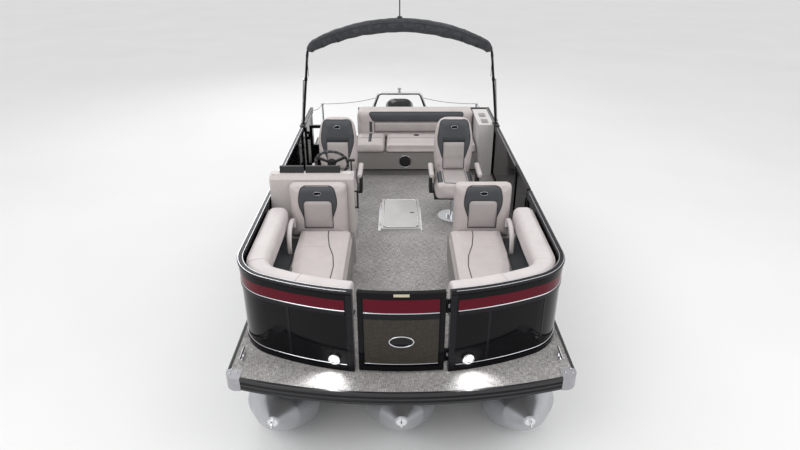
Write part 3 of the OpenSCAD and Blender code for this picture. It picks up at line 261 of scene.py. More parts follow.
CASTING = metal("satin_casting", (0.40, 0.40, 0.42), 0.3, scale=40, streak=0.08)
STAINLESS = metal("stainless_tube", (0.66, 0.67, 0.69), 0.2, (30, 30, 1), 40, 0.06)
ALU = metal("tube_aluminium", (0.50, 0.51, 0.53), 0.34, (3, 0.4, 3), 3, 0.05, 0.3)
MILL = metal("mill_aluminium", (0.55, 0.56, 0.58), 0.42, (1, 30, 1), 30, 0.12)
HATCH_PLATE = metal("brushed_lid", (0.62, 0.61, 0.60), 0.46, (90, 2, 90), 12, 0.08, 0.3)
SHELL = paint("moulded_ivory_shell", (0.55, 0.51, 0.495), 0.38, 0.15, scale=30, speck=0.04)
BASE = paint("taupe_base_panel", (0.27, 0.258, 0.245), 0.5, 0.05, scale=200, speck=0.1, height=0.001)
QUARTER = paint("quarter_shell", (0.66, 0.64, 0.63), 0.3, 0.2, scale=40, speck=0.03)
PLASTIC = paint("grained_black_plastic", (0.020, 0.020, 0.022), 0.48, 0.0, scale=500, speck=0.25, height=0.0012)
RUBBER = grooved("grooved_rub_rail", (0.014, 0.014, 0.016))
COWL = paint("gloss_cowl", (0.003, 0.003, 0.004), 0.16, 0.12, scale=90, spec=0.25)
MOTOR = paint("motor_black", (0.008, 0.008, 0.010), 0.35, 0.1)
CANVAS = weave("boot_canvas", (0.020, 0.021, 0.025), (0.062, 0.064, 0.073), 1100, 0.85, 0.5)
CORD = weave("guard_line_braid", (0.12, 0.12, 0.12), (0.42, 0.42, 0.42), 4000, 0.6, 0.7)
LAMP = glow("lamp_lens", (0.86, 0.90, 1.0), 60)
LABEL = paint("blank_label", (0.55, 0.50, 0.36), 0.5, 0.0, scale=300, speck=0.08)
SCREEN = paint("dark_screen", (0.010, 0.012, 0.018), 0.06, 0.6, scale=20, speck=0.3)


def give(material, *names):
    for name in names:
        data = NODES[name].data
        data.materials.clear()
        data.materials.append(material)


give(ALU, "pontoon_starboard", "pontoon_centre", "pontoon_port")
give(MILL, "risers", "cross_members", "motor_pod")
give(FLOOR_VINYL, "deck")
give(RUBBER, "rub_rails")
give(CASTING, "corner_castings")
give(CHROME, "cleats", "bow_eyes")
give(BLACK, "fence_starboard", "fence_port_bow", "fence_port_aft", "fence_stern", "bow_gate", "side_gate", "stern_gate")
give(RAIL, "top_rails", "gate_posts", "bimini_frame")
give(CHROME, "docking_lights", "hatch_frame")
give(BASE, "lounge_base_starboard", "lounge_base_port", "bench_base")
give(SHELL, "helm_console")
give(PLASTIC, "dash_fittings", "steering_wheel", "bimini_mounts", "locker_tub", "light_mast")
give(STAINLESS, "chair_pedestals", "tow_bar", "stern_posts", "boarding_ladder", "ladder_brackets", "bimini_struts",
     "propeller")
give(PLASTIC, "helm_chair_frame", "companion_chair_frame")
give(QUARTER, "stern_locker")
give(HATCH_PLATE, "hatch_lid")
give(MOTOR, "motor_bracket", "motor_swivel", "motor_leg")
for node in NODES.values():
    node.data.shade_smooth()
    node.data.set_sharp_from_angle(angle=math.radians(35))


# ---------- mesh helpers ----------

def new_object(name, data):
    ob = bpy.data.objects.new(name, data)
    scene.collection.objects.link(ob)
    return ob


def subdivide(ob):
    sub = ob.modifiers.new("subdivision", "SUBSURF")
    sub.levels = sub.render_levels = 1


def make(name, verts, faces, material, body="boat", smooth=True):
    me = bpy.data.meshes.new(name)
    me.from_pydata([tuple(v) for v in verts], [], faces)
    bm = bmesh.new()
    bm.from_mesh(me)
    bmesh.ops.recalc_face_normals(bm, faces=bm.faces)
    bm.to_mesh(me)
    bm.free()
    me.materials.append(material)
    if smooth:
        me.shade_smooth()
    ob = new_object(name, me)
    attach(ob, body)
    return ob


def ellipse(a, b, n, w=0.0):
    """Points round an ellipse in the u, v plane, at w along its axis."""
    turns = [2 * math.pi * i / n for i in range(n)]
    return [Vector((a * math.cos(t), b * math.sin(t), w)) for t in turns]


def ring_faces(sides, rings, closed=False):
    """Quads between rings of points that follow each other."""
    faces = []
    for i in range(rings if closed else rings - 1):
        j = (i + 1) % rings
        for k in range(sides):
            m = (k + 1) % sides
            faces.append((i * sides + k, i * sides + m, j * sides + m, j * sides + k))
    return faces


def end_faces(sides, rings):
    return [tuple(range(sides)), tuple((rings - 1) * sides + k for k in range(sides))]


def prism(name, low, high, material, body):
    """A flat piece between two outlines of the same number of points."""
    n = len(low)
    return make(name, low + high, end_faces(n, 2) + ring_faces(n, 2), material, body, smooth=False)


def sweep(name, path, section, material, body="boat", closed=False, smooth=True):
    """Sweeps a closed section of (out, up) pairs along stations of (point, out direction, up direction)."""
    verts = [p + out * a + up * b for p, out, up in path for a, b in section]
    faces = ring_faces(len(section), len(path), closed)
    if not closed:
        faces += end_faces(len(section), len(path))
    return make(name, verts, faces, material, body, smooth)


def tube(name, points, r, material, body="boat", sides=8, closed=False):
    pts = [Vector(p) for p in points]
    path, prev = [], None
    n = len(pts)
    for i, p in enumerate(pts):
        a, b = (pts[(i - 1) % n], pts[(i + 1) % n]) if closed else (pts[max(i - 1, 0)], pts[min(i + 1, n - 1)])
        t = (b - a).normalized()
        if prev is None:
            prev = t.orthogonal().normalized()
        u = (prev - t * prev.dot(t)).normalized()
        prev = u
        path.append((p, u, t.cross(u)))
    return sweep(name, path, [p[:2] for p in ellipse(r, r, sides)], material, body, closed)


def join(name, parts):
    with bpy.context.temp_override(active_object=parts[0], selected_editable_objects=parts, selected_objects=parts):
        bpy.ops.object.join()
    parts[0].name = name
    return parts[0]


def rect(x0, y0, x1, y1):
    return list(zip((x0, x1, x1, x0), (y0, y0, y1, y1)))


def mirrored(*right):
    """An outline from its right half, listed from the bottom up."""
    return [(-right[0][0], right[0][1]), *right, *((-x, y) for x, y in right[:0:-1])]


def rounded(points, radius, steps=5):
    """Rounds the corners of a closed outline."""
    out = []
    n = len(points)
    for i, p in enumerate(points):
        p = Vector(p)
        a, b = Vector(points[i - 1]), Vector(points[(i + 1) % n])
        r = radius[i] if isinstance(radius, (list, tuple)) else radius
        da, db = (a - p), (b - p)
        cut = min(r, da.length * 0.48, db.length * 0.48)
        s, e = p + da.normalized() * cut, p + db.normalized() * cut
        for k in range(steps + 1):
            t = k / steps
            out.append(s * (1 - t) ** 2 + p * 2 * t * (1 - t) + e * t * t)
    return out


def resample(points, step, closed=True):
    pts = [Vector(p) for p in points]
    if closed:
        pts = pts + [pts[0]]
    out = []
    for a, b in zip(pts, pts[1:]):
        m = max(1, int(math.ceil((b - a).length / step)))
        out += [a.lerp(b, k / m) for k in range(m)]
    if not closed:
        out.append(pts[-1])
    return out


def spline(points, each=4):
    """A smooth curve through some points."""
    out = []
    for i in range(len(points) - 1):
        p0, p1, p2, p3 = points[max(i - 1, 0)], points[i], points[i + 1], points[min(i + 2, len(points) - 1)]
        for k in range(each):
            t = k / each
            out.append(0.5 * ((2 * p1) + (p2 - p0) * t + (2 * p0 - 5 * p1 + 4 * p2 - p3) * t * t
                              + (3 * p1 - p0 - 3 * p2 + p3) * t ** 3))
    return out + [points[-1]]


# ---------- padded pieces ----------

PADS = []
CLOTH_FRAMES = 16


def pad(name, outline, low, high, place, replaced=(), body="boat", edge=0.035, voxel=0.015, grow=0.016):
    """A prism over outline in (u, v), from low to high along w, put in place by a matrix and then blown up as cloth."""
    bm = bmesh.new()
    bottom = [bm.verts.new((p[0], p[1], low)) for p in outline]
    top = [bm.verts.new((p[0], p[1], high)) for p in outline]
    n = len(outline)
    bm.faces.new(bottom[::-1])
    bm.faces.new(top)
    for i in range(n):
        j = (i + 1) % n
        bm.faces.new((bottom[i], bottom[j], top[j], top[i]))
    rim = [e for e in bm.edges if all(v.co.z > high - 1e-6 for v in e.verts)]
    bmesh.ops.bevel(bm, geom=rim, offset=edge, segments=4, affect="EDGES", profile=0.5, clamp_overlap=True)
    bmesh.ops.recalc_face_normals(bm, faces=bm.faces)
    me = bpy.data.meshes.new(name)
    bm.to_mesh(me)
    bm.free()
    me.materials.append(IVORY)
    ob = new_object(name, me)
    remesh(ob, voxel)
    group = ob.vertex_groups.new(name="held")
    held = [v.index for v in ob.data.vertices if v.co.z < low + voxel * 0.9]
    group.add(held, 1.0, "REPLACE")
    ob["grow"] = grow
    ob["body"] = body
    ob.matrix_world = place
    if replaced:
        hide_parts(*replaced)
    PADS.append(ob)
    return ob


def bake(ob):
    dg = bpy.context.evaluated_depsgraph_get()
    dg.update()
    me = bpy.data.meshes.new_from_object(ob.evaluated_get(dg), depsgraph=dg)
    ob.modifiers.clear()
    ob.data = me


def remesh(ob, voxel):
    rm = ob.modifiers.new("remesh", "REMESH")
    rm.mode = "VOXEL"
    rm.voxel_size = voxel
    bake(ob)


def relax(ob, rounds):
    bm = bmesh.new()
    bm.from_mesh(ob.data)
    for _ in range(rounds):
        bmesh.ops.smooth_vert(bm, verts=bm.verts, factor=0.5, use_axis_x=True, use_axis_y=True, use_axis_z=True)
    bm.to_mesh(ob.data)
    bm.free()


def blow_up():
    """Blows the pads up as cloth."""
    start = {}
    for ob in PADS:
        ob.data.transform(ob.matrix_world)
        if ob.matrix_world.determinant() < 0:
            ob.data.flip_normals()
        ob.matrix_world = Matrix.Identity(4)
        start[ob.name] = np.array([v.co for v in ob.data.vertices], float)
        c = ob.modifiers.new("cloth", "CLOTH")
        s = c.settings
        s.quality = 3
        s.mass = 0.3
        s.use_pressure = True
        s.uniform_pressure_force = 4
        s.tension_stiffness = s.compression_stiffness = 15
        s.shear_stiffness = 5
        s.bending_stiffness = 0.5
        s.vertex_group_mass = "held"
        s.effector_weights.gravity = 0
        c.collision_settings.use_collision = False
        c.point_cache.frame_start, c.point_cache.frame_end = 1, 20
    for f in range(1, CLOTH_FRAMES + 1):
        scene.frame_set(f)
    dg = bpy.context.evaluated_depsgraph_get()
    for ob in PADS:
        a = start[ob.name]
        e = ob.evaluated_get(dg)
        b = np.array([v.co for v in e.data.vertices], float)
        d = b - a
        size = np.linalg.norm(d, axis=1, keepdims=True) + 1e-9
        cap = ob["grow"]
        d = d / size * (cap * np.tanh(size / cap))
        a = a + d
        ob.modifiers.clear()
        ob.data.vertices.foreach_set("co", a.astype(np.float32).ravel())
        ob.data.update()
        relax(ob, 2)
        ob.data.shade_smooth()
        subdivide(ob)
        ob.vertex_groups.clear()
        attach(ob, ob["body"])
        del ob["body"], ob["grow"]
    scene.frame_set(1)


def surface(*obs):
    """Ray targets for the final shape of some pads."""
    dg = bpy.context.evaluated_depsgraph_get()
    dg.update()
    verts, faces = [], []
    for ob in obs:
        e = ob.evaluated_get(dg)
        base = len(verts)
        verts += [e.matrix_world @ v.co for v in e.data.vertices]
        faces += [tuple(base + i for i in p.vertices) for p in e.data.polygons]
    return BVHTree.FromPolygons(verts, faces)


def cast(tree, place, u, v, reach=0.6):
    o = place @ Vector((u, v, reach))
    d = (place.to_3x3() @ Vector((0, 0, -1))).normalized()
    hit = tree.ray_cast(o, d, 2 * reach)
    if hit[0] is None:
        return None, None
    return hit[0], hit[1] if hit[1].dot(d) < 0 else -hit[1]


def seam(name, tree, place, line, r=0.0035, material=PIPING, body="boat", closed=False, lift=0.0, step=0.014):
    pts = []
    for p in resample(line, step, closed):
        hit, nor = cast(tree, place, p[0], p[1])
        if hit is not None:
            pts.append(hit + nor * lift)
    if len(pts) < 3:
        return None
    return tube(name, pts, r, material, body, 6, closed)


def patch(name, tree, place, outline, material, body="boat", rise=0.006, step=0.016,
          piping=True):
    """A sewn insert laid on a pad's face, crowned towards its middle."""
    edge = resample(outline, step)
    flat = [Vector((p[0], p[1], 0)) for p in edge]
    bm = bmesh.new()
    face = bm.faces.new([bm.verts.new(p) for p in flat])
    us, vs = [p.x for p in flat], [p.y for p in flat]
    for axis, lo, hi in ((0, min(us), max(us)), (1, min(vs), max(vs))):
        k = lo + step
        while k < hi - step / 2:
            co, no = [0, 0, 0], [0, 0, 0]
            co[axis], no[axis] = k, 1
            bmesh.ops.bisect_plane(bm, geom=bm.verts[:] + bm.edges[:] + bm.faces[:], plane_co=co, plane_no=no)
            k += step
    border = [v for v in bm.verts if v.is_boundary]
    ring = np.array([v.co[:2] for v in border])
    lost = []
    for v in bm.verts:
        near = float(np.min(np.linalg.norm(ring - np.array(v.co[:2]), axis=1)))
        t = min(1.0, near / 0.045)
        h = -0.001 + (rise + 0.001) * math.sin(t * math.pi / 2)
        hit, nor = cast(tree, place, v.co.x, v.co.y)
        if hit is None:
            lost.append(v)
            continue
        v.co = hit + nor * (h + 0.0015)
    bmesh.ops.delete(bm, geom=lost, context="VERTS")
    me = bpy.data.meshes.new(name)
    bmesh.ops.recalc_face_normals(bm, faces=bm.faces)
    outward = place.to_3x3() @ UP
    bm.normal_update()
    if sum(f.normal.dot(outward) * f.calc_area() for f in bm.faces) < 0:
        bmesh.ops.reverse_faces(bm, faces=bm.faces)
    bm.to_mesh(me)
    bm.free()
    me.materials.append(material)
    me.shade_smooth()
    ob = new_object(name, me)
    sol = ob.modifiers.new("skin", "SOLIDIFY")
    sol.thickness = 0.004
    sol.offset = -1
    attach(ob, body)
    if piping:
        seam(name + "_piping", tree, place, outline, 0.003, PIPING, body, True, 0.0012, step)
    return ob


def flat_place(side=1):
    m = Matrix.Identity(4)
    m[0][0] = side
    m.translation = at(0, 0, 0)
    return m


def upright_place(x, s, z, lean, side=1):
    """u runs along +X, v up and w towards the bow; lean tips the top aft."""
    m = Matrix.Translation(at(x, s, z)) @ Matrix.Rotation(math.radians(-lean), 4, "X")
    basis = Matrix(((side, 0, 0, 0), (0, 0, -1, 0), (0, 1, 0, 0), (0, 0, 0, 1)))
    return m @ basis


# ---------- fence line ----------

HALF, NOSE_R, NOSE_S, CORNER_R = 1.255, 2.370, -0.045, 0.420
NOSE_Y = NOSE_S + NOSE_R
CORNER_X = HALF - CORNER_R
CORNER_Y = NOSE_Y - math.sqrt((NOSE_R - CORNER_R) ** 2 - CORNER_X ** 2)
CORNER_START = math.atan2(CORNER_X, NOSE_Y - CORNER_Y)


def fence_line(start_x, aft, side=1, first_s=None, step=0.05):
    """Stations of the fence's outer face as (point at deck height, outward direction, up)."""
    pts = []
    a = math.asin(start_x / NOSE_R)
    n = max(2, int((CORNER_START - a) * NOSE_R / step))
    for i in range(n + 1):
        t = a + (CORNER_START - a) * i / n
        pts.append((NOSE_R * math.sin(t), NOSE_Y - NOSE_R * math.cos(t), math.sin(t), -math.cos(t)))
    for i in range(1, 15):
        t = CORNER_START + (math.pi / 2 - CORNER_START) * i / 14
        pts.append((CORNER_X + CORNER_R * math.sin(t), CORNER_Y - CORNER_R * math.cos(t), math.sin(t), -math.cos(t)))
    n = max(1, int((aft - CORNER_Y) / 0.12))
    pts += [(HALF, CORNER_Y + (aft - CORNER_Y) * i / n, 1, 0) for i in range(1, n + 1)]
    if first_s is not None:
        pts = [(HALF, first_s, 1, 0)] + [p for p in pts if p[1] > first_s + 0.03 and p[2] == 1]
    return [(at(x * side, s, 0), Vector((nx * side, ny, 0)), UP) for x, s, nx, ny in pts]


def gate_line(half_x, side_steps=14):
    a = math.asin(half_x / NOSE_R)
    out = []
    for i in range(side_steps + 1):
        t = -a + 2 * a * i / side_steps
        out.append((at(NOSE_R * math.sin(t), NOSE_Y - NOSE_R * math.cos(t), 0),
                    Vector((math.sin(t), -math.cos(t), 0)), UP))
    return out


def band(name, line, low, high, inner, outer, material, body="boat", lip=0.002):
    section = [(inner, low), (outer - lip, low), (outer, low + lip), (outer, high - lip), (outer - lip, high),
               (inner, high)]
    return sweep(name, line, section, material, body, smooth=False)


def shorten(line, a, b):
    """Moves the ends of a line in by a and b."""
    line = list(line)
    for end, cut in ((0, a), (-1, b)):
        p, o, u = line[end]
        q = line[1 if end == 0 else -2][0]
        line[end] = (p + (q - p).normalized() * cut, o, u)
    return line


SKIN = -0.007
WAY = 0.345 + 0.045
BAND_TRIM = ("band_trim", 0.526, 0.534, 0.005, TRIM, "stainless")


def skin_bands(name, line, body, *rows):
    """Strips on the skin, given as (tail, low edge, high edge, how far they stand out, material, slot)."""
    for tail, low, high, proud, material, slot in rows:
        band(f"{name}_{tail}", line, low, high, SKIN - 0.004, SKIN + proud, material, body)


for side, tag in SIDES:
    spans = [("bow", shorten(fence_line(WAY, 1.705 if side > 0 else 4.715, side), 0.012, 0.02))]
    if side > 0:
        spans.append(("aft", shorten(fence_line(0, 4.715, 1, 2.445), 0.02, 0.02)))
    for part, line in spans:
        name = f"fence_{tag}_{part}"
        skin_bands(name, line, "boat", ("band", 0.535, 0.622, 0.0035, BURGUNDY, "black_panel"), BAND_TRIM,
                   ("mid_rail", 0.494, 0.5255, 0.0065, RAIL, "rail_metal"),
                   ("low_trim", 0.052, 0.058, 0.0045, TRIM, "stainless"))
        cap = shorten(line, -0.02, 0)
        for edge, inner, outer in (("outer", -0.004, 0.001), ("inner", -0.038, -0.034)):
            band(f"{name}_cap_line_{edge}", cap, 0.6995, 0.7015, inner, outer, TRIM, lip=0.0005)
    # upright joints in the skin
    line = spans[0][1]
    marks = [line[int(len(line) * f)] for f in (0.16, 0.42)]
    strips = [sweep("s", [(p + u * 0.06, o, Vector((-o.y, o.x, 0))), (p + u * 0.492, o, Vector((-o.y, o.x, 0)))],
                    rect(SKIN - 0.003, -0.011, SKIN + 0.002, 0.011),
                    RAIL, "boat", smooth=False) for p, o, u in marks]
    join(f"fence_{tag}_joints", strips)

gate = gate_line(0.268)
skin_bands("bow_gate", gate, "bow_gate", ("band", 0.535, 0.645, 0.0035, BURGUNDY, "black_panel"), BAND_TRIM,
           ("mid_rail", 0.480, 0.5255, 0.0065, RAIL, "rail_metal"),
           ("mesh", 0.090, 0.478, 0.0015, MESH, "dark_plastic"),
           ("mesh_trim", 0.083, 0.089, 0.0045, TRIM, "stainless"))
band("bow_gate_label", gate_line(0.055, 6), 0.672, 0.695, -0.002, 0.002, LABEL, "bow_gate")
side_line = [(at(HALF, s, 0), Vector((1, 0, 0)), UP) for s in (1.822, 2.0, 2.2, 2.350)]
skin_bands("side_gate", side_line, "side_gate", ("band", 0.535, 0.645, 0.0035, BURGUNDY, "black_panel"), BAND_TRIM,
           ("mid_rail", 0.494, 0.5255, 0.0065, RAIL, "rail_metal"))


def oval_badge(name, place, a, b, body, depth=0.006):
    """A blank oval badge: a bright crowned rim round a dark domed middle."""
    sides, rings = 40, 6
    rim = [place @ p for p in ellipse(a, b, sides, depth * 0.4)]
    tube(name, rim, 0.0045 * max(0.5, a / 0.07), TRIM, body, 8, True)
    verts = []
    for k in range(rings + 1):
        f = k / rings
        verts += [place @ p for p in ellipse(a * f, b * f, sides, depth * (0.3 + 0.7 * (1 - f * f)))]
    verts.append(place @ Vector((0, 0, depth)))
    c = len(verts) - 1
    faces = ring_faces(sides, rings + 1)[sides:] + [(c, sides + i, sides + (i + 1) % sides) for i in range(sides)]
    make(name + "_face", verts, faces, COWL, body)


nose = at(0, NOSE_S, 0.29)
oval_badge("bow_gate_badge", Matrix(((1, 0, 0, nose.x), (0, 0, -1, nose.y + 0.006), (0, 1, 0, nose.z), (0, 0, 0, 1))),
           0.088, 0.046, "bow_gate", 0.010)

# ---------- docking lights ----------

for side, tag in SIDES:
    turn = math.asin(side * (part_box("docking_lights")[1].x - 0.035) / NOSE_R)
    out = Vector((math.sin(turn), -math.cos(turn), 0))
    centre = at(0, NOSE_Y, 0.105) + out * (NOSE_R + 0.005)
    basis = Matrix((Vector((-out.y, out.x, 0)), UP, out)).transposed()
    sides, rings, r = 28, 5, 0.026
    verts = []
    for k in range(rings + 1):
        f = k / rings
        verts += [centre + basis @ p for p in ellipse(r * f, r * f, sides, 0.008 * (1 - f * f))]
    make(f"docking_lens_{tag}", verts, ring_faces(sides, rings + 1), LAMP, "boat")
    lamp = bpy.data.lights.new(f"docking_{tag}", "SPOT")
    lamp.energy, lamp.spot_size, lamp.spot_blend, lamp.shadow_soft_size = 6, math.radians(120), 0.8, 0.03
    spot = new_object(f"docking_{tag}", lamp)
    spot.location = centre + out * 0.03 + Vector((0, 0, 0.02))
    spot.rotation_euler = (out + Vector((0, 0, -0.75))).to_track_quat("-Z", "Y").to_euler()

# ---------- lounges ----------

CREASE, AFT = 1.470, 1.583
SEAT_LOW, LOUNGE_BACK_X = 0.3308, 0.7575
for side, tag in SIDES:
    seat = flat_place(side)
    outline = rounded([(0.447, 0.49), (0.515, 0.415), (0.845, 0.415), (0.938, 0.80), (0.938, 1.455), (0.447, 1.455)],
                      [0.05, 0.05, 0.05, 0.3, 0.03, 0.05])
    pad(f"lounge_seat_{tag}_pad", outline,
        SEAT_LOW + 0.004, 0.436, seat, (f"lounge_seat_{tag}",), voxel=0.014, grow=0.018, edge=0.04)
    foot = rounded([(0.447, 0.225), (0.80, 0.285), (0.845, 0.40), (0.515, 0.40), (0.447, 0.45)],
                   [0.03, 0.03, 0.02, 0.03, 0.03])
    pad(f"lounge_foot_{tag}_pad", foot, SEAT_LOW + 0.004, 0.437, seat, (), voxel=0.014, grow=0.014, edge=0.035)
    back_place = upright_place(LOUNGE_BACK_X * side, AFT - 0.006, SEAT_LOW, 0, side)
    shape = rounded(rect(-0.268, 0.004, 0.268, 0.535), [0.02, 0.02, 0.06, 0.06], 6)
    pad(f"lounge_back_{tag}_pad", shape, 0.0, 0.080, back_place, (f"lounge_back_{tag}",),
        voxel=0.013, grow=0.016, edge=0.03)

# ---------- captain's chairs ----------

CHAIRS = (("helm_chair", -0.695), ("companion_chair", 0.600))
CHAIR_S = 2.640
for chair, x in CHAIRS:
    seat = Matrix.Translation(at(x, CHAIR_S, 0))
    shape = rounded(mirrored((0.195, -0.262), (0.213, -0.2), (0.213, 0.175)), [0.06, 0.06, 0.1, 0.04, 0.04, 0.1])
    pad(f"{chair}_seat_pad", shape, 0.327, 0.486, seat, (f"{chair}_cushions",), body=chair,
        voxel=0.012, grow=0.014, edge=0.045)
    back = upright_place(x, CHAIR_S + 0.263, 0.360, 5.6)
    shape = rounded(mirrored((0.185, 0.0), (0.222, 0.28), (0.222, 0.50), (0.165, 0.715)),
                    [0.03, 0.03, 0.1, 0.2, 0.09, 0.09, 0.2, 0.1], 6)
    pad(f"{chair}_back_pad", shape, 0.0, 0.082, back, (), body=chair, voxel=0.012, grow=0.016, edge=0.035)
    for s, hand in SIDES[::-1]:
        arm = Matrix.Translation(at(x + s * 0.260, CHAIR_S, 0.5455)) @ Matrix.Rotation(math.radians(1.5), 4, "X")
        shape = rounded(mirrored((0.024, -0.185), (0.026, 0.160)), [0.02, 0.02, 0.015, 0.015])
        pad(f"{chair}_arm_{hand}_pad", shape, 0.0, 0.045, arm, (), body=chair,
            voxel=0.008, grow=0.006, edge=0.014)

# ---------- rear bench ----------

BENCH_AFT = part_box("bench_back")[1].y - GATE_Y
BENCH_SEATS = (("starboard", -0.572, -0.197), ("port", -0.181, 0.997))
for tag, x0, x1 in BENCH_SEATS:
    shape = rounded(rect(x0, 3.855, x1, 4.360), 0.03)
    pad(f"bench_seat_{tag}_pad", shape, 0.3345, 0.436, flat_place(), ("bench_seats",) if tag == "port" else (),
        voxel=0.015, grow=0.016, edge=0.045)
bench = upright_place(0.2125, BENCH_AFT - 0.004, SEAT_LOW, 0)
shape = rounded(rect(-0.784, 0.004, 0.784, 0.405), [0.03, 0.03, 0.05, 0.05])
pad("bench_back_pad", shape, 0.0, 0.245, bench, ("bench_back",), voxel=0.017, grow=0.016, edge=0.06)

blow_up()
OBJ = bpy.data.objects


def badge_on(name, tree, place, v, a, body="boat"):
    """A small badge on a sewn shield, v up from the pad's foot."""
    hit, nor = cast(tree, place, 0, v)
    oval_badge(name, Matrix.Translation(hit + nor * 0.001) @ place.to_3x3().to_4x4(), a, 0.017, body, 0.003)


# ---------- sewn detail on the lounges ----------

for side, tag in SIDES:
    seat = flat_place(side)
    tree = surface(OBJ[f"lounge_seat_{tag}_pad"])
    seam(f"lounge_seat_{tag}_curve", tree, seat,
         [(0.660, 1.45), (0.655, 1.30), (0.625, 1.10), (0.575, 0.92), (0.555, 0.75), (0.560, 0.60), (0.570, 0.44)],
         0.0042, step=0.012)
    seam(f"lounge_seat_{tag}_channel", tree, seat, [(0.66, 1.08), (0.93, 1.08)], 0.0022, IVORY)
    back_place = upright_place(LOUNGE_BACK_X * side, AFT - 0.006, SEAT_LOW, 0, side)
    tree = surface(OBJ[f"lounge_back_{tag}_pad"])
    shield = rounded(mirrored((0.115, 0.16), (0.185, 0.36), (0.150, 0.520)), [0.02, 0.02, 0.12, 0.05, 0.05, 0.12], 6)
    patch(f"lounge_back_{tag}_shield", tree, back_place, shield, CHARCOAL, rise=0.005, step=0.008)
    tree = surface(OBJ[f"lounge_back_{tag}_pad"], OBJ[f"lounge_back_{tag}_shield"])
    insert = rounded(rect(-0.132, 0.105, 0.132, 0.385), [0.01, 0.01, 0.045, 0.045], 6)
    patch(f"lounge_back_{tag}_insert", tree, back_place, insert, TAUPE, rise=0.012)
    tree = surface(OBJ[f"lounge_back_{tag}_shield"])
    badge_on(f"lounge_back_{tag}_badge", tree, back_place, 0.455, 0.034)

# ---------- bolsters round the bow ----------

def roll_section(w, h, r, n=6):
    """A rectangle w by h with corners of radius r."""
    pts = []
    for cx, cy, a0 in ((w - r, h - r, 0), (r, h - r, 90), (r, r, 180), (w - r, r, 270)):
        for i in range(n + 1):
            t = math.radians(a0 + 90 * i / n)
            pts.append((cx + r * math.cos(t), cy + r * math.sin(t)))
    return pts


def wrinkle(ob, amount, scale, seed):
    """Moves the points of a soft piece along their normals by smooth noise."""
    off = Vector((seed * 3.1, seed * 1.7, seed * 0.9))
    normals = [v.normal.copy() for v in ob.data.vertices]
    for v, n in zip(ob.data.vertices, normals):
        v.co += n * amount * noise.noise((v.co + off) * scale)
    ob.data.update()


for side, tag in SIDES:
    line = fence_line(0.372, CREASE - 0.01, side, step=0.022)
    full = []
    for a, b in zip(line, line[1:]):
        m = max(1, int(math.ceil((b[0] - a[0]).length / 0.022)))
        full += [(a[0].lerp(b[0], k / m), a[1].lerp(b[1], k / m).normalized(), a[2]) for k in range(m)]
    full.append(line[-1])
    inset, width, deep, high = -0.047, 0.184, 0.205, 0.672
    top = [(inset - width + x, high - deep + y) for x, y in roll_section(width, deep, 0.062)]
    roll = sweep(f"lounge_wrap_{tag}_roll", full, top, IVORY_ROLL, "boat")
    # round the two ends over
    n_ring = len(top)
    me = roll.data
    mid = [sum((me.vertices[i * n_ring + q].co for q in range(n_ring)), Vector()) / n_ring for i in range(len(full))]
    for i in range(len(full)):
        d = min(i, len(full) - 1 - i) * 0.022
        if d < 0.06:
            f = 0.80 + 0.20 * math.sqrt(1 - (1 - d / 0.06) ** 2)
            for q in range(n_ring):
                v = me.vertices[i * n_ring + q]
                v.co = mid[i] + (v.co - mid[i]) * f
    wrinkle(roll, 0.0035, 7, 2 + side)
    subdivide(roll)
    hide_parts(f"lounge_wrap_{tag}")
    # lining of the armrest well: charcoal vinyl, darkened further with painted shade
    wall = [(inset - x, z) for x, z in ((0.255, 0.332), (0.003, 0.332), (0.003, 0.50), (0.135, 0.50), (0.135, 0.353),
                                        (0.255, 0.345))]
    well = sweep(f"lounge_wrap_{tag}_well", full[2:-1], rounded(wall, 0.008, 3), DARK_VINYL_AND_SHADE, "boat")
    wrinkle(well, 0.003, 9, 5 + side)
    for edge, a, b in (("inner", inset - width * 0.97, high - 0.052), ("outer", inset - 0.020, high - 0.012)):
        tube(f"lounge_wrap_{tag}_piping_{edge}", [p + o * a + u * b for p, o, u in full[3:-3]], 0.003, IVORY, "boat",
             6)
    for k, f in enumerate((0.30, 0.62)):
        i = int(len(full) * f)
        p, o, u = full[i]
        ring = [p + o * (x + 0.0012) + u * y for x, y in top]
        tube(f"lounge_wrap_{tag}_stitch_{k + 1}", ring, 0.0022, IVORY, "boat", 6, True)
    # armrest strap between the back and the roll
    arc = [at(0.985 * side, s, z) for s, z in
           ((1.435, 0.470), (1.432, 0.520), (1.410, 0.553), (1.350, 0.566), (1.270, 0.556), (1.205, 0.520),
            (1.168, 0.465), (1.155, 0.400), (1.152, 0.345))]
    smooth_arc = spline(arc, 5)
    path = []
    for i, p in enumerate(smooth_arc):
        t = (smooth_arc[min(i + 1, len(smooth_arc) - 1)] - smooth_arc[max(i - 1, 0)]).normalized()
        x = Vector((1, 0, 0))
        path.append((p, x, t.cross(x)))
    section = [(x - 0.021, y - 0.016) for x, y in roll_section(0.042, 0.032, 0.0155, n=4)]
    strap = sweep(f"lounge_armrest_{tag}", path, section, IVORY_ROLL, "boat")
    if side == 1:
        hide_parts("lounge_armrests")
    # ivory end wall beside the bow gateway
    stations = [(at(0.424 * side, s, 0), Vector((side, 0, 0)), UP) for s in (0.215, 0.26, 0.31, 0.36, 0.405)]
    section = [(x - 0.02, y + 0.004) for x, y in roll_section(0.046, 0.452, 0.021, n=4)]
    end_wall = sweep(f"lounge_end_wall_{tag}", stations, section, IVORY_ROLL, "boat")

# ---------- sewn detail on the chairs ----------

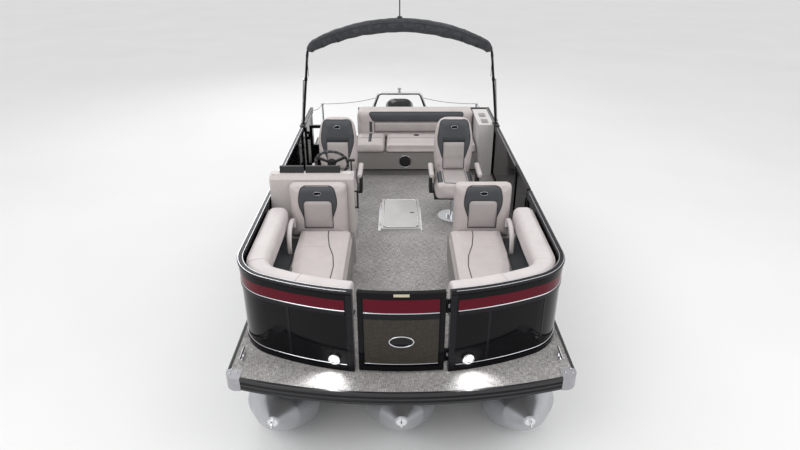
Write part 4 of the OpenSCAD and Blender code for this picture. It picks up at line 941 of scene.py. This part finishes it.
for chair, x in CHAIRS:
    back = upright_place(x, CHAIR_S + 0.263, 0.360, 5.6)
    tree = surface(OBJ[f"{chair}_back_pad"])
    shield = rounded(mirrored((0.125, 0.26), (0.190, 0.46), (0.150, 0.692)), [0.02, 0.02, 0.08, 0.05, 0.05, 0.08], 6)
    patch(f"{chair}_shield", tree, back, shield, CHARCOAL, chair, rise=0.005, step=0.008)
    tree = surface(OBJ[f"{chair}_back_pad"], OBJ[f"{chair}_shield"])
    dark = rounded(rect(-0.125, 0.455, 0.125, 0.515), 0.012)
    patch(f"{chair}_band", tree, back, dark, DARK_VINYL_AND_SHADE, chair, rise=0.004, piping=False)
    insert = rounded(rect(-0.120, 0.135, 0.120, 0.450), [0.02, 0.02, 0.02, 0.02], 5)
    patch(f"{chair}_insert", tree, back, insert, TAUPE, chair, rise=0.012)
    for s, hand in SIDES[::-1]:
        seam(f"{chair}_bolster_seam_{hand}", tree, back,
             [(0.150 * s, 0.12), (0.158 * s, 0.25), (0.197 * s, 0.42), (0.194 * s, 0.52), (0.155 * s, 0.68)], 0.0024,
             IVORY, chair)
    tree = surface(OBJ[f"{chair}_shield"])
    badge_on(f"{chair}_badge", tree, back, 0.615, 0.036, chair)
    seat = Matrix.Translation(at(x, CHAIR_S, 0))
    tree = surface(OBJ[f"{chair}_seat_pad"])
    insert = rounded(rect(-0.125, -0.215, 0.125, 0.150), 0.03, 5)
    patch(f"{chair}_seat_insert", tree, seat, insert, TAUPE, chair, rise=0.008)
    for s, hand in SIDES[::-1]:
        wing = rounded([(0.137 * s, -0.20), (0.190 * s, -0.19), (0.192 * s, 0.140), (0.137 * s, 0.145)], 0.015, 4)
        patch(f"{chair}_seat_side_{hand}", tree, seat, wing, CHARCOAL, chair,
              rise=0.003, piping=False)

# ---------- sewn detail on the bench ----------

tree = surface(OBJ["bench_back_pad"])
band_shape = rounded([(-0.575, 0.262), (0.62, 0.262), (0.665, 0.386), (-0.640, 0.386)], [0.02, 0.02, 0.05, 0.05], 5)
patch("bench_back_band", tree, bench, band_shape, CHARCOAL, rise=0.005, step=0.010)
insert = rounded(rect(-0.560, 0.110, 0.60, 0.252), 0.015)
patch("bench_back_insert", tree, bench, insert, TAUPE, rise=0.010, step=0.022)
for k, (x0, x1) in enumerate(((-0.625, -0.585), (0.625, 0.665))):
    drop = rect(x0, 0.115, x1, 0.262)
    patch(f"bench_back_strap_{k + 1}", tree, bench, drop, CHARCOAL, rise=0.003, piping=False)
for tag, x0, x1 in BENCH_SEATS:
    tree = surface(OBJ[f"bench_seat_{tag}_pad"])
    for k, s in enumerate((3.925, 4.115)):
        seam(f"bench_seat_{tag}_seam_{k + 1}", tree, flat_place(), [(x0 + 0.03, s), (x1 - 0.03, s)], 0.0028,
             PIPING if k else IVORY)
tree = surface(OBJ["bench_seat_starboard_pad"])
patch("bench_seat_strap", tree, flat_place(), rect(-0.412, 3.95, -0.372, 4.32), CHARCOAL, rise=0.004,
      piping=False)
hit, nor = cast(surface(OBJ["bench_seat_port_pad"]), flat_place(), 0.225, 4.20)
latch = [hit + Vector((x, y, 0.002)) for x, y in ((-0.026, 0.0), (-0.026, 0.03), (0.026, 0.03), (0.026, 0.0))]
tube("bench_latch", resample(latch, 0.01, True), 0.008, PLASTIC, "boat", 8, True)

# speaker in the bench's skirt
BENCH_FRONT = 3.875
speaker = upright_place(0.07, BENCH_FRONT, 0.205, 0)
parts = [tube("s", [speaker @ p for p in ellipse(r, r, 40, 0.004)], t, TRIM if r > 0.07 else PLASTIC, "boat",
              8, True) for r, t in ((0.080, 0.006), (0.026, 0.007), (0.052, 0.003))]
join("bench_speaker_rings", parts)
spokes = zip(ellipse(0.028, 0.028, 12, 0.004), ellipse(0.05, 0.05, 12, 0.006), ellipse(0.077, 0.077, 12, 0.004))
parts = [tube("s", [speaker @ p for p in spoke], 0.0045, PLASTIC, "boat", 8) for spoke in spokes]
join("bench_speaker_spokes", parts)
cone = [Vector((0, 0, 0.0015))] + ellipse(0.08, 0.08, 40, 0.0015) + ellipse(0.08, 0.08, 40, -0.0025)
faces = [(0, 1 + i, 1 + (i + 1) % 40) for i in range(40)]
faces += [(1 + i, 1 + (i + 1) % 40, 41 + (i + 1) % 40, 41 + i) for i in range(40)]
make("bench_speaker_cone", [speaker @ p for p in cone], faces, MESH, "boat")
skirt_line = [(at(x, BENCH_FRONT, 0), Vector((0, -1, 0)), UP) for x in (-0.57, 0.0, 0.995)]
band("bench_kick_trim", skirt_line, 0.084, 0.098, -0.002, 0.005, PLASTIC)

# ---------- helm ----------

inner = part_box("helm_console")[1].x


def side_panel(name, outline):
    """A dark recess on the console's inboard side."""
    edge = rounded(outline, 0.02, 4)
    n = len(edge)
    cs, cz = sum(p[0] for p in edge) / n, sum(p[1] for p in edge) / n
    low = [at(inner - 0.011, s, z) for s, z in edge]
    high = [at(inner - 0.007, cs + (s - cs) * 0.93, cz + (z - cz) * 0.93) for s, z in edge]
    prism(name, low, high, DARK_VINYL_AND_SHADE, "boat")


side_panel("helm_side_recess_high", [(1.715, 0.435), (1.815, 0.465), (1.815, 0.580), (1.745, 0.600), (1.715, 0.570)])
side_panel("helm_side_recess_low", [(1.715, 0.130), (1.845, 0.130), (1.890, 0.185), (1.890, 0.262), (1.740, 0.262),
                                    (1.715, 0.235)])
for k, (x0, x1) in enumerate(((-1.105, -0.915), (-0.865, -0.575))):
    w, c = x1 - x0, (x0 + x1) / 2
    face = rect(x0, 0.921, x1, 0.955)
    line = resample([at(x, 1.7265, z) for x, z in face], 0.03)
    tube(f"gauge_bezel_{k + 1}", line, 0.006, PLASTIC, "boat", 8, True)
    prism(f"gauge_screen_{k + 1}", [at(x, 1.7250, z) for x, z in face], [at(x, 1.7210, z) for x, z in face], SCREEN,
          "boat")
    for n in range(2):
        dial = upright_place(c + (n - 0.5) * w * 0.45, 1.7268, 0.938, 0)
        tube(f"gauge_ring_{k + 1}_{n + 1}", [dial @ p for p in ellipse(0.013, 0.013, 24)], 0.0015, TRIM, "boat",
             6, True)
# raised lip round the console's front ledge
lip = resample([at(-1.190, 1.640, 0.906), at(-0.445, 1.640, 0.906), at(-0.445, 1.66, 0.907), at(-0.445, 1.72, 0.909)],
               0.05, False)
tube("console_lip", lip, 0.008, SHELL, "boat", 8)

# steering wheel: padded grip and hub
RIM_R = 0.155
WHEEL = Matrix.Translation(at(-0.665, 1.960, 0.900)) @ Matrix.Rotation(math.radians(25 - 90), 4, "X")
ring = [WHEEL @ p for p in ellipse(RIM_R, RIM_R, 72)]
tube("steering_grip", ring, 0.0135, PIPING, "steering_wheel", 14, True)
parts = []
for k in range(18):
    stitch = Matrix.Rotation(2 * math.pi * k / 18, 4, "Z")
    loop = [WHEEL @ stitch @ Vector((RIM_R + p.x, 0, p.y)) for p in ellipse(0.0142, 0.0142, 10)]
    parts.append(tube("s", loop, 0.0012, TAUPE, "steering_wheel", 5, True))
join("steering_grip_stitching", parts)
verts = []
for r, z in ((0.045, 0.006), (0.046, 0.014), (0.040, 0.022), (0.024, 0.026), (0.001, 0.027)):
    verts += [WHEEL @ p for p in ellipse(r, r, 32, z)]
make("steering_hub_pad", verts, ring_faces(32, 5) + [tuple(range(32))], PLASTIC, "steering_wheel")

# ---------- hatch ----------

lid_lo, lid_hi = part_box("hatch_lid")
lid = Vector(((lid_lo.x + lid_hi.x) / 2 + 0.012, (lid_lo.y + lid_hi.y) / 2, lid_hi.z))
shape = rounded(rect(-0.190, -0.365, 0.190, 0.365), 0.055, 8)
prism("hatch_lid_panel", [lid + Vector((x, y, 0)) for x, y in shape],
      [lid + Vector((x * 0.985, y * 0.99, 0.003)) for x, y in shape], HATCH_PLATE, "hatch_lid")
rim = [lid + Vector((x, y, 0.002)) for x, y in shape]
tube("hatch_lid_rim", resample(rim, 0.03), 0.0045, CHROME, "hatch_lid", 8, True)
latch = rounded(rect(-0.020, -0.008, 0.020, 0.008), 0.006, 4)
prism("hatch_latch", [lid + Vector((0.130 + x * 1.15, y * 1.15, 0.003)) for x, y in latch],
      [lid + Vector((0.130 + x, y, 0.006)) for x, y in latch], PLASTIC, "hatch_lid")

# ---------- bimini ----------

PIVOT = Vector((0, GATE_Y + 3.830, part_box("bimini_struts")[0].z + 0.013))
LEG, LEAN, SHOULDER_R, CROWN_R, HALF_TOP = 0.860, math.radians(7), 0.170, 2.400, 1.216
SX = HALF_TOP - LEG * math.sin(LEAN) - SHOULDER_R * math.cos(LEAN)
SZ = LEG * math.cos(LEAN) - SHOULDER_R * math.sin(LEAN)
CROWN_A = math.acos(SX / (CROWN_R - SHOULDER_R))
CZ = SZ - (CROWN_R - SHOULDER_R) * math.sin(CROWN_A)


def bow_station(x_c, z_c, r, angle, side):
    out = Vector((side * math.cos(angle), 0, math.sin(angle)))
    return PIVOT + Vector((side * x_c, 0, z_c)) + out * r, out, Vector((0, 1, 0))


arch = [bow_station(SX, SZ, SHOULDER_R, LEAN + 0.22 + (CROWN_A - LEAN - 0.22) * i / 10, 1) for i in range(10)]
arch += [bow_station(0, CZ, CROWN_R, CROWN_A + (math.pi / 2 - CROWN_A) * i / 52, 1) for i in range(53)]
arch += [(Vector((-p.x, p.y, p.z)), Vector((-o.x, o.y, o.z)), u) for p, o, u in arch[-2::-1]]
sides = 36
verts = []
rings = len(arch)
for i, (p, out, up) in enumerate(arch):
    t = abs(2 * i / (rings - 1) - 1)
    grow = 1.0 - 0.30 * t ** 2.2 - 0.22 * max(0, t - 0.86) / 0.14
    if i in (0, rings - 1):
        grow *= 0.62
    for k in range(sides):
        a = 2 * math.pi * k / sides
        c, s = math.cos(a), math.sin(a)
        e = 0.78
        x = math.copysign(abs(c) ** e, c)
        y = math.copysign(abs(s) ** e, s)
        hang = 1.0 + 0.10 * max(0, -x)
        q = p + out * (-0.020 + 0.078 * x * grow * hang) + up * (0.068 * y * grow)
        along = p.x * 9
        fold = noise.noise(Vector((along * 1.2 + s * 1.5, a * 1.1, 3.3)))
        crease = abs(noise.noise(Vector((along * 2.2 - a * 0.9, s * 2.0, 8.1)))) ** 0.6
        q += (out * x + up * y) * (0.008 * fold - 0.007 * crease + 0.002)
        verts.append(q)
faces = ring_faces(sides, rings) + end_faces(sides, rings)
boot = make("bimini_boot_canvas", verts, faces, CANVAS, "bimini")
subdivide(boot)
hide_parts("bimini_boot")
zip_line = [p + out * 0.012 - up * 0.0665 for p, out, up in arch[8:-8]]
seam_tree = surface(boot)
pts = []
for q in zip_line:
    hit = seam_tree.ray_cast(q - Vector((0, 0.2, 0)), Vector((0, 1, 0)))
    if hit[0] is not None:
        pts.append(hit[0])
tube("bimini_boot_zip", pts, 0.0035, PLASTIC, "bimini", 6)
for n, i in enumerate((14, 24, rings - 25, rings - 15)):
    p, out, up = arch[i]
    loop = []
    for k in range(28):
        a = 2 * math.pi * k / 28
        d = (out * math.cos(a) + up * math.sin(a))
        hit = seam_tree.ray_cast(p + out * -0.02 + d * 0.3, -d)
        if hit[0] is not None:
            loop.append(hit[0] - d * 0.001)
    tangent = out.cross(up)
    strip = [(q, (q - (p + out * -0.02)).normalized(), tangent) for q in loop]
    sweep(f"bimini_boot_strap_{n + 1}", strip, rect(-0.002, -0.0125, 0.003, 0.0125),
          PIPING, "bimini", closed=True, smooth=False)
for side, tag in SIDES:
    p, out, up = bow_station(SX, SZ, SHOULDER_R, LEAN + 0.20, side)
    start = p + Vector((side * 0.006, -0.028, -0.01))
    drop = [start + Vector((0, -0.004 * math.sin(k * 0.5), -0.026 * k)) for k in range(12)]
    path = [(q, Vector((side, 0, 0)), Vector((0, 1, 0))) for q in drop]
    sweep(f"bimini_boot_tail_{tag}", path, rect(-0.0015, -0.0125, 0.0015, 0.0125),
          PIPING, "bimini", smooth=False)
    buckle = [drop[3] + Vector((side * 0.003, y, z)) for y, z in rect(-0.016, -0.012, 0.016, 0.012)]
    tube(f"bimini_buckle_{tag}", resample(buckle, 0.01), 0.004, PLASTIC, "bimini", 8, True)

# ---------- guard lines ----------

# across, aft of the gate and above the deck, in millimetres
INNER = [(351, 5045, 747), (440, 5062, 720), (570, 5085, 689), (720, 5112, 662), (880, 5140, 642),
         (1010, 5160, 631), (1118, 5177, 626)]
OUTER = [(1142, 5158, 625), (1152, 5080, 616), (1164, 5000, 613), (1178, 4920, 616), (1193, 4840, 627),
         (1210, 4770, 643), (1230, 4717, 660)]

for side, tag in SIDES:
    for part, raw in (("inner", INNER), ("outer", OUTER)):
        route = spline([at(side * x / 1000, s / 1000, z / 1000) for x, s, z in raw])
        line = tube(f"guard_line_{tag}_{part}", route, 0.004, CORD, "boat", 10)
        if side == 1 and part == "inner":
            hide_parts("guard_lines")

# ---------- small metalwork ----------

castings = NODES["corner_castings"].data
bvh = BVHTree.FromPolygons([v.co for v in castings.vertices], [tuple(p.vertices) for p in castings.polygons])


def dome(name, centre, normal, r, h, material, sides=12):
    u = normal.orthogonal().normalized()
    basis = Matrix((u, normal.cross(u), normal)).transposed()
    verts = []
    for f, z in ((1.0, -0.001), (1.0, h * 0.35), (0.8, h * 0.75), (0.45, h)):
        verts += [centre + basis @ p for p in ellipse(r * f, r * f, sides, z)]
    return make(name, verts, ring_faces(sides, 4) + end_faces(sides, 4), material, "boat")


bolts = []
for sx in (1, -1):
    for s0, sy in ((-0.052, 1), (5.560, -1)):
        for dx, ds in ((0.012, 0.012), (-0.040, 0.020), (0.010, 0.062)):
            o = at(sx * (1.262 + dx - 0.01), s0 + sy * ds, 0.3)
            hit = bvh.ray_cast(o, Vector((0, 0, -1)))
            if hit[0] is not None and hit[1].z > 0.7:
                bolts.append(dome("b", hit[0], hit[1], 0.008, 0.005, STAINLESS))
if bolts:
    join("casting_bolts", bolts)
RAIL_FACE = 1.2945
screws = []
for sx in (1, -1):
    for s in [0.25 + 0.45 * k for k in range(12)]:
        screws.append(dome("b", at(sx * RAIL_FACE, s, -0.045), Vector((sx, 0, 0)), 0.005, 0.002, STAINLESS, sides=8))
join("rub_rail_screws", screws)
welds = []
tubes = {n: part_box(n) for n in ("pontoon_starboard", "pontoon_centre", "pontoon_port")}
for n, (lo, hi) in tubes.items():
    c = Vector(((lo.x + hi.x) / 2, 0, 0.318))
    for s in (0.62, 1.9, 3.2, 4.5):
        arc = [math.radians(-75 + 330 * i / 60) for i in range(61)]
        welds.append(tube("w", [c + Vector((0.3178 * math.cos(a), GATE_Y + s, 0.3178 * math.sin(a))) for a in arc],
                          0.003, MILL, "boat", 6))
join("pontoon_welds", welds)

# ---------- outboard ----------


def smooth_copy(node, name, material, body, voxel=0.012, rounds=8):
    me = NODES[node].data.copy()
    ob = new_object(name, me)
    remesh(ob, voxel)
    relax(ob, rounds)
    ob.data.materials.clear()
    ob.data.materials.append(material)
    ob.data.shade_smooth()
    subdivide(ob)
    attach(ob, body)
    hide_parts(node)
    return ob


cowl = smooth_copy("motor_cowl", "motor_cowl_shell", COWL, "motor_head", 0.014, 6)
tree = surface(cowl)
TILT = Matrix.Translation(Vector((0, GATE_Y + 5.595, 0.700))) @ Matrix.Rotation(math.radians(47), 4, "X")
cowl_pts = np.array([TILT.inverted() @ v.co for v in cowl.data.vertices])
c_lo, c_hi = cowl_pts.min(0), cowl_pts.max(0)
mid_y = (c_lo[1] + c_hi[1]) / 2
for n, f in enumerate((0.10, 0.42)):
    z = c_lo[2] + (c_hi[2] - c_lo[2]) * f
    loop = []
    for k in range(72):
        a = 2 * math.pi * k / 72
        d = (TILT.to_3x3() @ Vector((math.cos(a), math.sin(a), 0))).normalized()
        o = TILT @ Vector((0, mid_y, z))
        hit = tree.ray_cast(o, d)
        if hit[0] is not None:
            loop.append(hit[0])
    tube(f"motor_cowl_trim_{n + 1}", loop, 0.004 if n else 0.006, TRIM if n else MOTOR, "motor_head",
         8, True)

# ---------- lights, floor and world ----------

floor = bpy.data.meshes.new("floor")
floor.from_pydata([(-60, -60, 0), (60, -60, 0), (60, 60, 0), (-60, 60, 0)], [], [(0, 1, 2, 3)])
floor_ob = new_object("floor", floor)
pale = Shader("pale_floor", Roughness=0.8)
pale.color(pale.noise(pale.coords(), 0.4, 2), (0.3, (0.84, 0.84, 0.84)), (0.7, (0.87, 0.87, 0.87)))
floor.materials.append(pale.material)

world = bpy.data.worlds.new("studio")
scene.world = world
world.use_nodes = True
world.node_tree.nodes["Background"].inputs["Color"].default_value = (1, 1, 1, 1)
world.node_tree.nodes["Background"].inputs["Strength"].default_value = 0.82
for name, place, target, size, power in (
        ("key", (-4.5, -7.5, 7.5), (0, -1.0, 0.8), 5.0, 210),
        ("fill", (6.0, -5.0, 5.0), (0, -0.5, 0.8), 5.0, 80),
        ("top", (0.0, 0.5, 8.0), (0, 0, 0), 7.0, 110),
        ("rim", (-3.0, 8.0, 6.0), (0, 1.5, 1.0), 4.0, 120)):
    data = bpy.data.lights.new(name, "AREA")
    data.energy, data.size = power, size
    ob = new_object(name, data)
    ob.location = place
    ob.rotation_euler = (Vector(target) - Vector(place)).to_track_quat("-Z", "Y").to_euler()
scene.view_settings.view_transform = "Standard"
